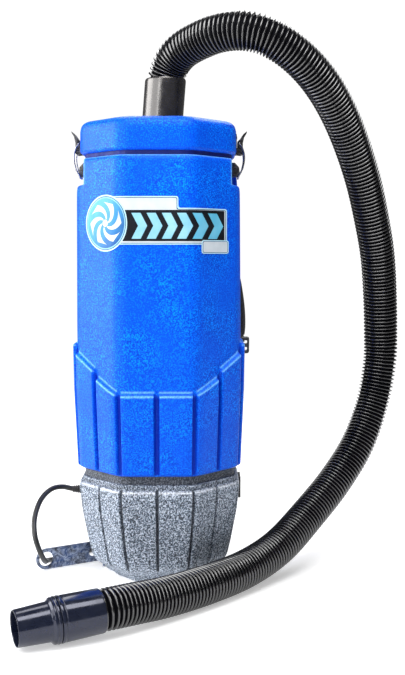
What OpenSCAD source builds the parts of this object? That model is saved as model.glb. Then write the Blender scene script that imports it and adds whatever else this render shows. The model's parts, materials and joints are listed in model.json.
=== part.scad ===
// Backpack vacuum cleaner: a moulded canister on a motor base, with a latched lid,
// a ribbed suction hose, a cord bracket and a shoulder and waist harness.
// Millimetres, +Z up. The origin is on the canister's axis, on the floor it stands on.
// The front of the canister faces -Y and the harness is on +Y.

/* [Casing] */
// Half the width across the side walls of the casing
casing_a = 104; // [102:0.5:106]
// Height of the joint between the base and the canister
base_top = 131; // [129:1:133]
// Height of the canister's open mouth
mouth_z = 543; // [541:1:545]
// Wall thickness of the moulded shells
wall = 4.5; // [3.5:0.5:5]

/* [Lid and latches] */
// Height of the lid's lower edge
lid_z = 548.5; // [548:0.5:550]
// Height of the lid above its lower edge
lid_h = 41.5; // [40:0.5:43]
// Distance from the axis to a latch's pivot
latch_x = 105.5; // [105:0.5:107]
// Diameter of the latch wire
wire_d = 2.2; // [1.8:0.1:2.4]

/* [Hose] */
// Outside diameter over the hose's ribs
hose_d = 47; // [45:0.5:47]
// Inside diameter of the hose
hose_bore = 38; // [36:0.5:40]
// Outside diameter of the hose cuffs
cuff_d = 52; // [50:0.5:52]
// Bore of the wand connector
wand_bore = 38.3; // [38:0.1:39]
// Outside diameter of the wand connector's tip
wand_d = 40.4; // [40.2:0.1:42]

/* [Cord] */
// Diameter of the lead
cord_d = 7; // [6:0.5:7.5]
// Width of the cord bracket's steel strip
bracket_h = 28; // [26:1:30]

/* [Harness] */
// Width of the padded shoulder straps
strap_w = 58; // [50:1:60]
// Width of the waist belt's padded wings
belt_h = 84; // [76:1:86]

/* [Hidden] */

blue = "royalblue";
grey = "dimgray";
black = "#202224";
steel = "silver";
$fn = 48;
tube_sides = 10;

// Corners of the casing's outline at its nominal size, anticlockwise from the front left.
corners = [[-47, -104], [47, -104], [104, -46], [104, 48], [70, 92], [-70, 92], [-104, 48], [-104, -46]];
corner_cut = 13;   // how far the corners' rounding reaches along each side
corner_steps = 3;  // straight pieces in each rounded corner
neck_x = 93;       // flat sides below the mouth, where the latches hook on
shoulder_z = 509;  // height of the shoulders under those flat sides
shelf_z = 166;     // underside of the shelf that carries the motor gasket

// The hose's centreline from inside the top cuff to inside the end cuff.
hose_route = [
    [4, 0, 626], [4, 0, 638], [4.2, -0.5, 649], [10.5, -7, 662.5], [25, -21, 677.5], [46, -39, 689], [72, -58, 694],
    [101, -70, 693], [132, -72, 684], [163, -63, 667], [192, -45, 643], [219, -20, 612], [244, 9, 572],
    [267, 39, 523], [285, 67, 470], [298, 89, 422], [306, 107, 370], [310, 118, 315], [310, 121, 268],
    [300, 115, 210], [277, 96, 153], [242, 65, 106], [199, 22, 67], [157, -27, 39], [112, -78, 26],
    [61, -133.5, 24], [13, -178.5, 25], [-21.5, -208, 28], [-48.6, -228, 29.3], [-68.7, -237.2, 28.1],
    [-78.7, -241.8, 27.6]
];
hose_steps = 2;         // rings in each stretch of the route
hose_end = [-57.1, -231.9, 28.8];
hose_end_turn = 204.5;  // the way the hose's end points, about Z
hose_end_dip = 3;       // and how far it points down, as it rests on its rim
cuff_r = cuff_d / 2 + 0.5;  // the top cuff is a little stouter
port_x = 4;                // the inlet sits a little off the axis
cuff_len = 50;
connector_len = 47;

// The lead's centreline from the base's wall through the bracket's eye to the plug behind the base.
cord_route = [
    [-99, 38, 100], [-110, 38, 100], [-122, 38, 100], [-136, 35, 102], [-149, 28, 98], [-160, 18, 86],
    [-166, 7, 70], [-167, -4, 53], [-164, -14, 37], [-160, -18, 25], [-156.5, -14, 17.5], [-154, -6, 13.5],
    [-150, 6, 9.5], [-144, 20, 5.5], [-133, 37, 4], [-119, 54, 4], [-103, 70, 4], [-86, 86, 4], [-66, 100, 4],
    [-42, 111, 4], [-16, 118, 5], [8, 121, 9], [22, 122, 13], [34, 122, 14.5]
];
cord_steps = 2;
cord_exit = [-102.4, 38, 100];
plug_at = [34, 122, 14.5];
bracket_turn = 209.2;   // the way the bracket points from the base, about Z
bracket_at = [-79, 36.7, 1];
bracket_len = 100;
eye_r = 9.8;

/* Shapes */

function unit(v) = v / norm(v);

// A closed outline with its corners rounded by a curve through cut, in steps pieces.
function rounded(points, cut, steps) = [
    for (i = [0:len(points) - 1])
        let (p = points[i],
             a = points[(i + len(points) - 1) % len(points)],
             b = points[(i + 1) % len(points)],
             u = p + unit(a - p) * cut,
             v = p + unit(b - p) * cut)
        for (k = [0:steps]) let (t = k / steps) (1 - t) * (1 - t) * u + 2 * t * (1 - t) * p + t * t * v
];

// The casing's outline at half width a.
function casing(a) = rounded(corners * (a / 104), corner_cut * a / 104, corner_steps);

// A box outline with round corners, width w along X and height h along Y.
function box_outline(w, h, r) =
    rounded([[-w / 2, -h / 2], [w / 2, -h / 2], [w / 2, h / 2], [-w / 2, h / 2]], r, 4);

// Points of a smooth curve through a route, with steps of them in each stretch.
function curve(p, steps) = [
    for (i = [0:len(p) - 2], k = [0:steps - 1])
        let (t = k / steps,
             a = p[max(i - 1, 0)], b = p[i], c = p[i + 1], d = p[min(i + 2, len(p) - 1)])
        0.5 * ((2 * b) + (c - a) * t + (2 * a - 5 * b + 4 * c - d) * t * t
               + (3 * b - a - 3 * c + d) * t * t * t),
    p[len(p) - 1]
];
function tangents(p) = [for (i = [0:len(p) - 1]) unit(p[min(i + 1, len(p) - 1)] - p[max(i - 1, 0)])];

// Directions square to a curve that turn as little as they can along it.
function sides_of(t, first) = [
    for (i = 0, n = unit(first - (first * t[0]) * t[0]); i < len(t);
         i = i + 1, n = i < len(t) ? unit(n - (n * t[i]) * t[i]) : n) n
];

// Triangles between rings of n points; closed rings end to end when loop is true.
function ring_faces(rings, n, loop = false) = [
    for (k = [0:rings - (loop ? 1 : 2)], i = [0:n - 1])
        let (a = k * n + i, b = ((k + 1) % rings) * n + i,
             c = ((k + 1) % rings) * n + (i + 1) % n, d = k * n + (i + 1) % n)
        each [[a, b, c], [a, c, d]]
];

// A solid through outlines at levels [height, half width].
module loft(levels) {
    rings = [for (l = levels) [for (p = casing(l[1])) [p.x, p.y, l[0]]]];
    n = len(rings[0]);
    last = len(levels) - 1;
    polyhedron([for (r = rings) each r],
        concat([[for (i = [0:n - 1]) i]], ring_faces(len(levels), n),
               [[for (i = [n - 1:-1:0]) last * n + i]]));
}

// A round tube along points; with a bore it is open at both ends.
module tube(points, d, bore = 0) {
    t = tangents(points);
    s = sides_of(t, [0, 1, 0.01]);
    n = tube_sides;
    function ring(i, r) = [
        for (k = [0:n - 1]) points[i] + r * (cos(360 * k / n) * s[i] + sin(360 * k / n) * cross(t[i], s[i]))
    ];
    outer = [for (i = [0:len(points) - 1]) each ring(i, d / 2)];
    m = len(points);
    if (bore == 0)
        polyhedron(outer, concat([[for (i = [0:n - 1]) i]], ring_faces(m, n),
                                 [[for (i = [n - 1:-1:0]) (m - 1) * n + i]]));
    else
        polyhedron(concat(outer, [for (i = [m - 1:-1:0]) each ring(i, bore / 2)]),
                   ring_faces(2 * m, n, loop = true));
}

// A flat strip along points: width w lies along the side directions, thickness t across them.
module strip(points, side, w, t) {
    tan = tangents(points);
    m = len(points);
    rings = [
        for (i = [0:m - 1])
            let (f = i / (m - 1),
                 s = unit(side - (side * tan[i]) * tan[i]),
                 u = cross(tan[i], s),
                 wi = is_list(w) ? lookup(f, w) / 2 : w / 2)
            each [points[i] - s * wi - u * t / 2, points[i] + s * wi - u * t / 2,
                  points[i] + s * wi + u * t / 2, points[i] - s * wi + u * t / 2]
    ];
    polyhedron(rings, concat([[0, 1, 2, 3]], ring_faces(m, 4),
                             [[for (i = [3:-1:0]) (m - 1) * 4 + i]]));
}

module ring(outer_r, inner_r, h) {
    difference() {
        cylinder(r = outer_r, h = h);
        translate([0, 0, -1]) cylinder(r = inner_r, h = h + 2);
    }
}

module at_hose_end() {
    translate(hose_end) rotate([0, 0, hose_end_turn]) rotate([0, 90 + hose_end_dip, 0]) children();
}

module both_sides() {
    children();
    mirror([1, 0, 0]) children();
}

/* Casing */

panel_gap = 5;    // width of the grooves between panels
panel_t = 3.4;    // how far the canister's panels stand out
canister_levels = [[149, 101], [151.5, 102.8], [250, 104.6], [330, 105], [500, 103.6], [538, 100.5], [mouth_z, 97]];
base_levels = [[0, 73], [2, 75], [19, 76], [22, 84], [32, 89], [52, 93.5], [92, 101], [122, 104], [129, 103.5],
               [base_top, 101]];

function grown(levels, by) = [for (l = levels) [l[0], l[1] + by]];

// A prism square to the wall that faces turn, from x1 to x2 along it, with a top edge from z1 to z2.
module panel(turn, x1, x2, z0, z1, z2) {
    rotate([0, 0, turn]) translate([0, -60, 0]) rotate([90, 0, 0]) linear_extrude(height = 80)
        polygon([[x1, z0], [x2, z0], [x2, z2], [x1, z1]]);
}

module canister_panels() {
    z0 = 153;
    half = panel_gap / 2;
    panel(0, -44, -half, z0, 254, 254);
    panel(0, half, 44, z0, 254, 254);
    both_sides() {
        panel(45, -37.5, -half, z0, 255, 271);
        panel(45, half, 37.5, z0, 281, 300);
        panel(90, -43, -half, z0, 311, 311);
        panel(90, half, 45, z0, 311, 311);
    }
}

module main_body() {
    color(blue) difference() {
        union() {
            loft(canister_levels);
            intersection() {
                loft([[150, 104.7], [245, 107.9], [320, 108.6]]);
                canister_panels();
            }
        }
        loft([[148, 98.5], [shelf_z, 98.5]]);
        loft([[shelf_z + 5, 99.5], [330, 105 - wall], [490, 99], [500, 88], [533, 88]]);
        loft([[532.9, 90.5], [mouth_z + 1, 90.5]]);
        translate([0, 0, shelf_z - 1]) cylinder(r = 70.2, h = 7);
        both_sides() translate([neck_x, -80, shoulder_z]) cube([20, 170, 50]);
    }
}

module latch_catches() {
    color(black) both_sides()
        translate([0, 8, 0]) rotate([90, 0, 0]) linear_extrude(height = 16)
            polygon([[neck_x, 523], [103.5, 523], [104.5, 526], [103.5, 535], [98, 541], [neck_x, 541]]);
}

// Gaps between the base's panels, in line with the canister's.
module base_gaps() {
    module gap(angle) {
        rotate([0, 0, angle]) translate([60, -panel_gap / 2, 22]) cube([80, panel_gap, 120]);
    }
    gap(-90);
    for (a = [-65.7, -45, -23.9, 0, -114.3, -135, -156.1, 180]) gap(a);
}

module motor_base() {
    slots = 7;
    slot_pitch = 13;
    color(grey) difference() {
        union() {
            difference() {
                loft(base_levels);
                base_gaps();
            }
            loft(grown(base_levels, -2.4));
            loft([[120, 97], [162.5, 97]]);
        }
        difference() {
            loft([[5, 68], [18, 71], [26, 80], [52, 89], [92, 96.2], [122, 97.8], [base_top - 3, 92.5], [164, 92.5]]);
            translate([0, 0, 4]) ring(61, 50.5, 16);
        }
        for (i = [0:slots - 1])
            translate([(i - (slots - 1) / 2) * slot_pitch - 3, 60, 42]) cube([6, 40, 46]);
        translate([switch_at.x - 12, switch_at.y - 13.2, switch_at.z - 12.2]) cube([30, 26.4, 24.4]);
        translate([switch_at.x + 4, switch_at.y - 16.2, switch_at.z - 14.2]) cube([20, 32.4, 28.4]);
        translate([-85, cord_exit.y, cord_exit.z]) rotate([0, -90, 0]) cylinder(r = 6, h = 30);
    }
}

module body_seal() {
    color(black) difference() {
        loft([[162.7, 97], [165.8, 97]]);
        loft([[162, 92.8], [167, 92.8]]);
    }
}

module body_screws() {
    z = 157;
    color(steel) {
        for (x = [-52, 52]) translate([x, 91.2, z]) rotate([-90, 0, 0]) screw(9);
        for (s = [0, 180]) rotate([0, 0, s]) translate([103, 0, z]) rotate([0, 90, 0]) screw(9);
    }
}

// A countersunk screw whose head's underside is at z = 0.
module screw(len) {
    translate([0, 0, -len]) cylinder(r = 1.7, h = len);
    cylinder(r1 = 1.7, r2 = 2.4, h = 0.8);
}

module badge() {
    // A round medallion at the end of a stepped plate, wrapped round the front walls.
    z_mid = 465;
    color("white") intersection() {
        difference() {
            loft([[400, 105.3], [529, 104.1]]);
            loft([[399, 104.6], [530, 103.4]]);
        }
        translate([0, -50, 0]) rotate([90, 0, 0]) linear_extrude(height = 70) {
            translate([-64, z_mid]) scale([0.72, 1]) circle(r = 34);
            polygon([[-60, z_mid - 24], [86, z_mid - 24], [86, z_mid + 20], [26, z_mid + 20],
                     [26, z_mid + 31], [-60, z_mid + 31]]);
            translate([57, z_mid - 36]) square([31, 14]);
        }
    }
}

/* Lid */

module lid() {
    top = lid_z + lid_h;
    color(blue) difference() {
        union() {
            loft([[lid_z, 96.5], [lid_z + 2.5, 98.5], [top - 12, 98.5], [top - 6, 96.5], [top - 2, 91.5], [top, 84]]);
            loft([[536.2, 85.8], [lid_z + 1, 85.8]]);
        }
        loft([[535, 81.8], [lid_z + 5, 81.8], [lid_z + 12, 93.5], [top - 13, 93.5], [top - 6, 88], [top - 4.5, 82]]);
        translate([port_x, 0, top - 10]) cylinder(r = 31, h = 20);
    }
}

module lid_gasket() {
    color(black) difference() {
        loft([[mouth_z + 0.3, 93], [lid_z - 0.2, 93]]);
        loft([[mouth_z - 1, 86.2], [lid_z + 1, 86.2]]);
    }
}

module inlet_collar() {
    color(black) translate([port_x, 0, 0]) difference() {
        union() {
            translate([0, 0, 524]) cylinder(r = 28.5, h = 34);
            translate([0, 0, 556]) cylinder(r = 30.7, h = 36);
            translate([0, 0, 590.2]) cylinder(r1 = 37, r2 = 36, h = 3);
        }
        translate([0, 0, 523]) cylinder(r = 22, h = 40);
        translate([0, 0, 561.5]) cylinder(r = cuff_r + 0.1, h = 40);
    }
}

module collar_nut() {
    color(black) translate([port_x, 0, 576.5]) difference() {
        cylinder(r = 39, h = 8.8, $fn = 8);
        translate([0, 0, -1]) cylinder(r = 30.8, h = 12);
    }
}

/* Latches: the right-hand one is drawn and the left-hand one mirrored. */

latch_pivot = [latch_x, 0, 554];
bail_pivot = [latch_x - 2, 0, 565];
bail_foot = [102.5, 0, 521.4];

module along_y(at, r, h) {
    translate(at) rotate([90, 0, 0]) cylinder(r = r, h = h, center = true);
}

module latch_plate() {
    ear_y = 9.2;
    color(black) difference() {
        union() {
            translate([98.5, -11, 551.5]) cube([1.8, 22, 25.5]);
            for (s = [-1, 1]) hull() {
                translate([98.8, s * ear_y - 1, 552]) cube([1, 2, 8]);
                translate([latch_x, s * ear_y, latch_pivot.z]) rotate([90, 0, 0])
                    cylinder(r = 3, h = 2, center = true, $fn = 32);
            }
        }
        along_y(latch_pivot, 1.55, 40);
    }
}

module latch_lever() {
    half = 7.8;
    color(black) {
        along_y(latch_pivot, 1.5, 22);
        difference() {
            union() {
                along_y(latch_pivot, 2.8, 2 * half);
                translate([0, half, 0]) rotate([90, 0, 0]) linear_extrude(height = 2 * half)
                    polygon([[103.2, 554], [101.2, 562], [101.2, 568], [104.5, 571], [108.5, 577], [113.2, 581],
                             [113.4, 579.6], [110, 574], [108.3, 566], [108.1, 554]]);
            }
            translate([0, half - 1.8, 0]) rotate([90, 0, 0]) linear_extrude(height = 2 * half - 3.6)
                polygon([[98, 558.5], [106.6, 558.5], [106.8, 567], [107.6, 571.5], [98, 571.5]]);
            along_y(bail_pivot, wire_d / 2 + 0.05, 40);
        }
    }
}

module latch_bail() {
    half = 12.6;
    legs = [[107, half, 560], [109.6, half, 551], [109.6, half, 542], [107.4, half, 532]];
    side = concat(
        [bail_pivot + [0, 6.2, 0], bail_pivot + [0, half - 1.4, 0], bail_pivot + [0.7, half - 0.2, -0.8]],
        curve(legs, 2),
        [bail_foot + [0.5, half, 2.2], bail_foot + [0, half - 0.6, 0.4], bail_foot + [0, half - 2, 0]]);
    last = len(side) - 1;
    color("gray") tube(concat(side, [for (i = [last:-1:0]) [side[i].x, -side[i].y, side[i].z]]), wire_d);
}

module latch_rivets() {
    color(steel) both_sides() translate([100.4, 0, 573.5]) rotate([0, 90, 0]) {
        cylinder(r1 = 2.4, r2 = 1.7, h = 0.7);
        translate([0, 0, -5.5]) cylinder(r = 1.5, h = 5.6);
    }
}

/* Hose */

module hose_cuff_top() {
    color(black) translate([port_x, 0, 0]) difference() {
        union() {
            translate([0, 0, 562]) cylinder(r = cuff_r, h = 84);
            translate([0, 0, 646]) cylinder(r1 = cuff_r, r2 = cuff_r - 0.8, h = 2);
        }
        translate([0, 0, 561]) cylinder(r = 20, h = 60);
        translate([0, 0, 612]) cylinder(r = hose_d / 2 + 0.5, h = 60);
    }
}

module hose() {
    color(black) tube(curve(hose_route, hose_steps), hose_d, hose_bore);
}

module hose_cuff_end() {
    color(black) at_hose_end() difference() {
        cylinder(r1 = cuff_d / 2 - 1, r2 = cuff_d / 2, h = cuff_len);
        translate([0, 0, -1]) cylinder(r = hose_d / 2 + 0.5, h = cuff_len + 2);
    }
}

module wand_connector() {
    color(black) at_hose_end() difference() {
        union() {
            translate([0, 0, cuff_len - 14]) cylinder(r = hose_d / 2 + 0.42, h = 16);
            translate([0, 0, cuff_len + 0.4]) cylinder(r1 = cuff_d / 2 - 0.8, r2 = cuff_d / 2, h = 1.6);
            translate([0, 0, cuff_len + 2]) cylinder(r1 = cuff_d / 2, r2 = wand_d / 2 + 1.5, h = 5);
            translate([0, 0, cuff_len + 4]) cylinder(r1 = wand_d / 2 + 1.6, r2 = wand_d / 2, h = connector_len - 4);
        }
        translate([0, 0, cuff_len - 15]) cylinder(d = wand_bore, h = connector_len + 20);
    }
}

/* Bag and filters */

module paper_bag() {
    color("wheat") difference() {
        loft([[240, 48], [246, 66], [270, 74], [400, 76], [505, 74], [525, 66], [531, 50]]);
        loft([[241.4, 47], [247.2, 64.6], [270, 72.6], [400, 74.6], [505, 72.6], [524.2, 64.8], [529.6, 49]]);
        translate([port_x, 0, 520]) cylinder(r = 28.8, h = 30);
    }
}

module paper_bag_collar() {
    color("tan") translate([port_x, 0, 531.2]) {
        difference() {
            linear_extrude(height = 2.4) polygon(box_outline(80, 92, 10));
            translate([0, 0, -1]) cylinder(r = 28.8, h = 10);
        }
        translate([0, 0, 2.4]) ring(33, 28.8, 5);
    }
}

module cloth_bag() {
    color("lightgray") difference() {
        loft([[238, 60], [242, 80], [300, 84], [533, 84]]);
        loft([[239.5, 58], [243.5, 78.5], [300, 82.5], [534, 82.5]]);
    }
}

module cloth_bag_ring() {
    color(black) difference() {
        loft([[533.2, 89.8], [535.7, 89.8]]);
        loft([[532, 82], [537, 82]]);
    }
}

module dome_filter() {
    steps = 10;
    outer_r = 76;
    rise = 54;
    thick = 7;
    color("whitesmoke") translate([0, 0, 174.5]) rotate_extrude()
        polygon(concat(
            [for (i = [0:steps]) let (a = 90 * i / steps) [outer_r * cos(a), rise * sin(a)]],
            [for (i = [steps:-1:0]) let (a = 90 * i / steps) [(outer_r - thick) * cos(a), (rise - thick) * sin(a)]]));
}

module dome_filter_frame() {
    color(black) translate([0, 0, 171.3]) {
        ring(84, 62, 3);
        translate([0, 0, 3]) ring(80, 76.6, 8);
        translate([0, 0, 3]) ring(67.6, 64, 8);
    }
}

/* Motor */

module motor_gasket() {
    color(black) translate([0, 0, 164.2]) rotate_extrude()
        polygon([[56, 0], [69.4, 0], [69.4, 6.8], [67, 6.8], [66, 3.4], [64.5, 6.8], [62.5, 6.8], [61.5, 3.4],
                 [60, 6.8], [58, 6.8], [56, 3]]);
}

module motor_support_ring() {
    color(black) difference() {
        loft([[93.5, 95.8], [97.8, 95.8]]);
        translate([0, 0, 90]) cylinder(r = 48, h = 20);
        for (a = [0:30:330]) rotate([0, 0, a]) translate([78, 0, 90]) cylinder(r = 5, h = 20);
    }
}

module motor_fan_case() {
    color(steel) difference() {
        union() {
            translate([0, 0, 99]) cylinder(r = 70.5, h = 63);
            translate([0, 0, 162]) cylinder(r1 = 70.5, r2 = 69, h = 2);
            translate([0, 0, 98]) cylinder(r = 74, h = 4);
        }
        translate([0, 0, 102]) cylinder(r = 68.5, h = 60);
        translate([0, 0, 160]) cylinder(r = 24, h = 10);
        translate([0, 0, 90]) cylinder(r = 47.2, h = 30);
        for (a = [0:30:330]) rotate([0, 0, a]) translate([66, -5, 106]) cube([10, 10, 6]);
    }
}

module motor_housing() {
    color("gray") difference() {
        union() {
            translate([0, 0, 25]) cylinder(r = 46.8, h = 80);
            translate([0, 0, 102.2]) cylinder(r = 60, h = 3);
        }
        translate([0, 0, 28]) cylinder(r = 44.5, h = 74);
        translate([0, 0, 20]) cylinder(r = 8.1, h = 90);
        for (a = [0:45:315]) rotate([0, 0, a + 22.5]) translate([30, -10, 30]) cube([30, 20, 14]);
    }
}

module stator() {
    color("dimgray") translate([0, 0, 52]) difference() {
        cylinder(r = 44.4, h = 38);
        translate([0, 0, -1]) cylinder(r = 27.6, h = 40);
        for (a = [45, 225]) rotate([0, 0, a]) translate([-12, 27, -1]) cube([24, 9, 40]);
    }
    color("peru") for (z = [45.8, 90.1]) translate([0, 0, z]) ring(41, 30, 6.1);
}

module rotor() {
    slots = 12;
    color("dimgray") translate([0, 0, 52]) difference() {
        cylinder(r = 26.8, h = 38);
        translate([0, 0, -1]) cylinder(r = 5.1, h = 40);
        for (i = [0:slots - 1]) rotate([0, 0, 360 * i / slots]) translate([20, -1.2, -1]) cube([10, 2.4, 40]);
    }
    color("peru") for (z = [42.4, 89.9]) translate([0, 0, z]) ring(24, 5.1, 9.7);
}

module commutator() {
    bars = 24;
    color("peru") translate([0, 0, 31]) difference() {
        cylinder(r = 13, h = 11);
        translate([0, 0, -1]) cylinder(r = 5.1, h = 14);
        for (i = [0:bars - 1]) rotate([0, 0, 360 * i / bars]) translate([12, -0.3, -1]) cube([3, 0.6, 14]);
    }
}

module motor_shaft() {
    color(steel) {
        translate([0, 0, 11]) cylinder(r = 5, h = 147);
        translate([0, 0, 158]) cylinder(r1 = 5, r2 = 3.5, h = 2);
    }
}

// A shrouded fan wheel whose blades sweep back as they go out.
module impeller(z) {
    blades = 7;
    steps = 5;
    inner_r = 24;
    outer_r = 61;
    sweep = 50;
    function edge(k, lead) = let (r = inner_r + (outer_r - inner_r) * k / steps, a = lead - sweep * k / steps)
        [r * cos(a), r * sin(a)];
    color(steel) translate([0, 0, z]) {
        ring(62, 5.1, 1.2);
        translate([0, 0, 16.8]) ring(62, 22, 1.2);
        translate([0, 0, 1]) ring(10, 5.1, 13);
        for (i = [0:blades - 1]) rotate([0, 0, 360 * i / blades]) translate([0, 0, 1]) linear_extrude(height = 16)
            polygon(concat([for (k = [0:steps]) edge(k, 0)], [for (k = [steps:-1:0]) edge(k, 2)]));
    }
}

module diffuser() {
    color(steel) translate([0, 0, 129]) difference() {
        cylinder(r = 68.3, h = 3);
        translate([0, 0, -1]) cylinder(r = 18, h = 5);
        for (a = [0:30:330]) rotate([0, 0, a]) translate([64, -5, -1]) cube([2.6, 10, 5]);
    }
}

module cooling_fan() {
    color(black) translate([0, 0, 12]) {
        ring(36, 5.1, 1.5);
        ring(11, 5.1, 10);
        for (a = [0:36:324]) rotate([0, 0, a]) translate([10, -0.8, 1.4]) cube([25, 1.6, 8]);
    }
}

module bearings() {
    color(steel) for (z = [24.8, 101]) translate([0, 0, z]) ring(8, 5.1, 5);
}

module carbon_brushes() {
    color("darkslategray") for (s = [0, 180]) rotate([0, 0, s]) translate([13.2, -4, 33]) cube([30, 8, 6]);
}

module exhaust_filter() {
    color("darkslategray") translate([0, 0, 20.2]) ring(61, 50.5, 73);
}

/* Switch, cord and bracket */

switch_at = [97.5, 22, 110];

module switch_housing() {
    color(black) translate(switch_at) difference() {
        union() {
            translate([-6, -13, -12]) cube([12, 26, 24]);
            translate([4.2, -16, -14]) cube([5.6, 32, 28]);
        }
        translate([-3.5, -10, -10.6]) cube([20, 20, 21.2]);
        along_y([0, 0, 0], 1.55, 24);
    }
}

module switch_rocker() {
    half = 9.6;
    color("firebrick") translate(switch_at) rotate([0, 10, 0]) {
        translate([0, half, 0]) rotate([90, 0, 0]) linear_extrude(height = 2 * half)
            polygon([[-1.6, -4.5], [4, -8.6], [8.9, -8.6], [7.4, 0], [8.9, 8.6], [4, 8.6], [-1.6, 4.5]]);
        along_y([0, 0, 0], 1.5, 23.4);
    }
}

module cord_gland() {
    color(black) translate(cord_exit) rotate([0, -90, 0]) difference() {
        union() {
            translate([0, 0, -6]) cylinder(r = 5.9, h = 6.5);
            cylinder(r = 9, h = 3);
            translate([0, 0, 3]) cylinder(r1 = 7, r2 = cord_d / 2 + 1, h = 18);
        }
        translate([0, 0, -10]) cylinder(r = cord_d / 2 + 0.1, h = 40);
    }
}

module power_cord() {
    color(black) tube(curve(cord_route, cord_steps), cord_d);
}

module power_plug() {
    prong_pitch = 12.7;
    color(black) translate(plug_at) {
        rotate([0, 90, 0]) cylinder(r1 = 6, r2 = 9, h = 13);
        translate([12, 0, 0]) rotate([90, 0, 90]) linear_extrude(height = 30) polygon(box_outline(34, 28, 9));
    }
    color("goldenrod") translate(plug_at + [41, 0, 0]) {
        for (y = [-prong_pitch / 2, prong_pitch / 2]) translate([0, y - 0.75, -0.5]) cube([17, 1.5, 6.4]);
        translate([0, 0, -8]) rotate([0, 90, 0]) cylinder(r = 2.4, h = 19);
    }
}

module cord_bracket() {
    end_r = bracket_h / 2;
    color(black) {
        translate(bracket_at) rotate([0, 0, bracket_turn]) translate([0, 1.5, 0]) rotate([90, 0, 0])
            linear_extrude(height = 3) difference() {
                union() {
                    polygon([[0, 0], [bracket_len - end_r, 0], [bracket_len - end_r, bracket_h],
                             [20, bracket_h], [0, 15]]);
                    translate([bracket_len - end_r, end_r]) circle(r = end_r);
                }
                translate([bracket_len - end_r, end_r]) circle(r = eye_r);
                translate([18, end_r]) circle(r = 6.5);
            }
        // The flange that is screwed to the base's foot.
        translate([-79.5, 6, 1]) cube([3, 32, 17]);
    }
}

module bracket_screws() {
    color(steel) for (y = [13, 24]) translate([-79.6, y, 10]) rotate([0, -90, 0]) {
        cylinder(r1 = 3.6, r2 = 2.4, h = 1.6);
        translate([0, 0, -10]) cylinder(r = 1.8, h = 10);
    }
}

/* Harness */

plate_y = 93;     // back face of the canister's back wall, where the plate sits
plate_t = 5;
strap_path = [
    [44, 105, 468], [44, 105, 492], [45, 111, 512], [48, 128, 523], [52, 150, 517], [58, 172, 494], [66, 188, 458],
    [75, 195, 418], [84, 194, 382], [91, 185, 347], [94, 174.5, 320], [94, 168.5, 303.5]
];
webbing_path = [[94, 158, 277], [93, 146, 270], [86, 124, 267], [76, 106, 266], [68, 99.6, 266]];
belt_path = [[77, 106, 207], [90, 112, 207], [101, 124, 207], [107, 144, 207], [107, 172, 207], [100, 196, 207],
             [84, 215, 207]];
belt_web_path = [[87, 212, 207], [74, 224, 207], [58, 232, 207], [40.2, 236.5, 207]];

module harness_plate() {
    color(black) translate([0, plate_y + plate_t, 0]) rotate([90, 0, 0]) linear_extrude(height = plate_t) difference() {
        translate([0, 332]) polygon(box_outline(144, 346, 22));
        for (z = [282, 400]) translate([0, z]) polygon(box_outline(52, 40, 8));
    }
}

module harness_screws() {
    color(steel) for (x = [-63, 63], z = [315, 440])
        translate([x, plate_y + plate_t, z]) rotate([-90, 0, 0]) {
            cylinder(r1 = 5, r2 = 3.6, h = 2.4);
            translate([0, 0, -11]) cylinder(r = 2.4, h = 11.5);
        }
}

module back_pad() {
    color(black) translate([0, plate_y + 22, 0]) rotate([90, 0, 0]) linear_extrude(height = 16.7)
        translate([0, 390]) polygon(box_outline(104, 130, 24));
}

module lumbar_pad() {
    color(black) translate([0, plate_y + 27, 0]) rotate([90, 0, 0]) linear_extrude(height = 21.7)
        translate([0, 207]) polygon(box_outline(138, 92, 24));
}

module shoulder_strap() {
    widths = [[0, 34], [0.2, 46], [0.4, strap_w], [0.75, strap_w], [1, 48]];
    color(black) strip(curve(strap_path, 2), [1, 0, 0], widths, 13);
}

module strap_webbing() {
    color(black) both_sides() {
        strip(curve(webbing_path, 2), [0.25, 0, 1], 25, 2.2);
        // Ladder lock below the padded strap.
        translate([111, 161.5, 288]) rotate([20, 0, 0]) difference() {
            cube([34, 5, 26], center = true);
            for (z = [-6, 5]) translate([0, 0, z]) cube([26, 8, 6], center = true);
        }
    }
}

module belt_wing() {
    color(black) {
        strip(curve(belt_path, 3), [0, 0, 1], [[0, belt_h], [0.35, belt_h], [1, 46]], 12);
        strip(curve(belt_web_path, 2), [0, 0, 1], 38, 2.4);
    }
}

module belt_buckle_left() {
    color(black) {
        translate([-40, 233, 184]) cube([8, 8, 46]);
        translate([-33, 234, 188]) cube([14, 6, 38]);
        for (z = [188, 204.5, 221]) translate([-20, 234, z]) cube([18, 6, 5]);
    }
}

module belt_buckle_right() {
    color(black) difference() {
        translate([6, 232, 183]) cube([34, 10, 48]);
        translate([5, 234, 187]) cube([25, 6, 40]);
        translate([14, 230, 182]) cube([12, 20, 6]);
        translate([14, 230, 226]) cube([12, 20, 6]);
    }
}

module mirrored(side) {
    if (side == "left") mirror([1, 0, 0]) children();
    else children();
}

/* The part */

motor_base();
main_body();
body_seal();
body_screws();
lid();
lid_gasket();
inlet_collar();
collar_nut();
latch_catches();
mirrored("left") latch_plate();  // latch_plate_left
mirrored("right") latch_plate();  // latch_plate_right
latch_rivets();
mirrored("left") latch_lever();  // latch_lever_left
mirrored("right") latch_lever();  // latch_lever_right
mirrored("left") latch_bail();  // latch_bail_left
mirrored("right") latch_bail();  // latch_bail_right
hose_cuff_top();
hose();
hose_cuff_end();
wand_connector();
badge();
paper_bag();
paper_bag_collar();
cloth_bag();
cloth_bag_ring();
dome_filter();
dome_filter_frame();
motor_gasket();
motor_support_ring();
motor_fan_case();
motor_housing();
stator();
rotor();
commutator();
motor_shaft();
impeller(108);  // impeller_lower
impeller(136);  // impeller_upper
diffuser();
cooling_fan();
bearings();
carbon_brushes();
exhaust_filter();
switch_housing();
switch_rocker();
cord_gland();
power_cord();
power_plug();
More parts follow.
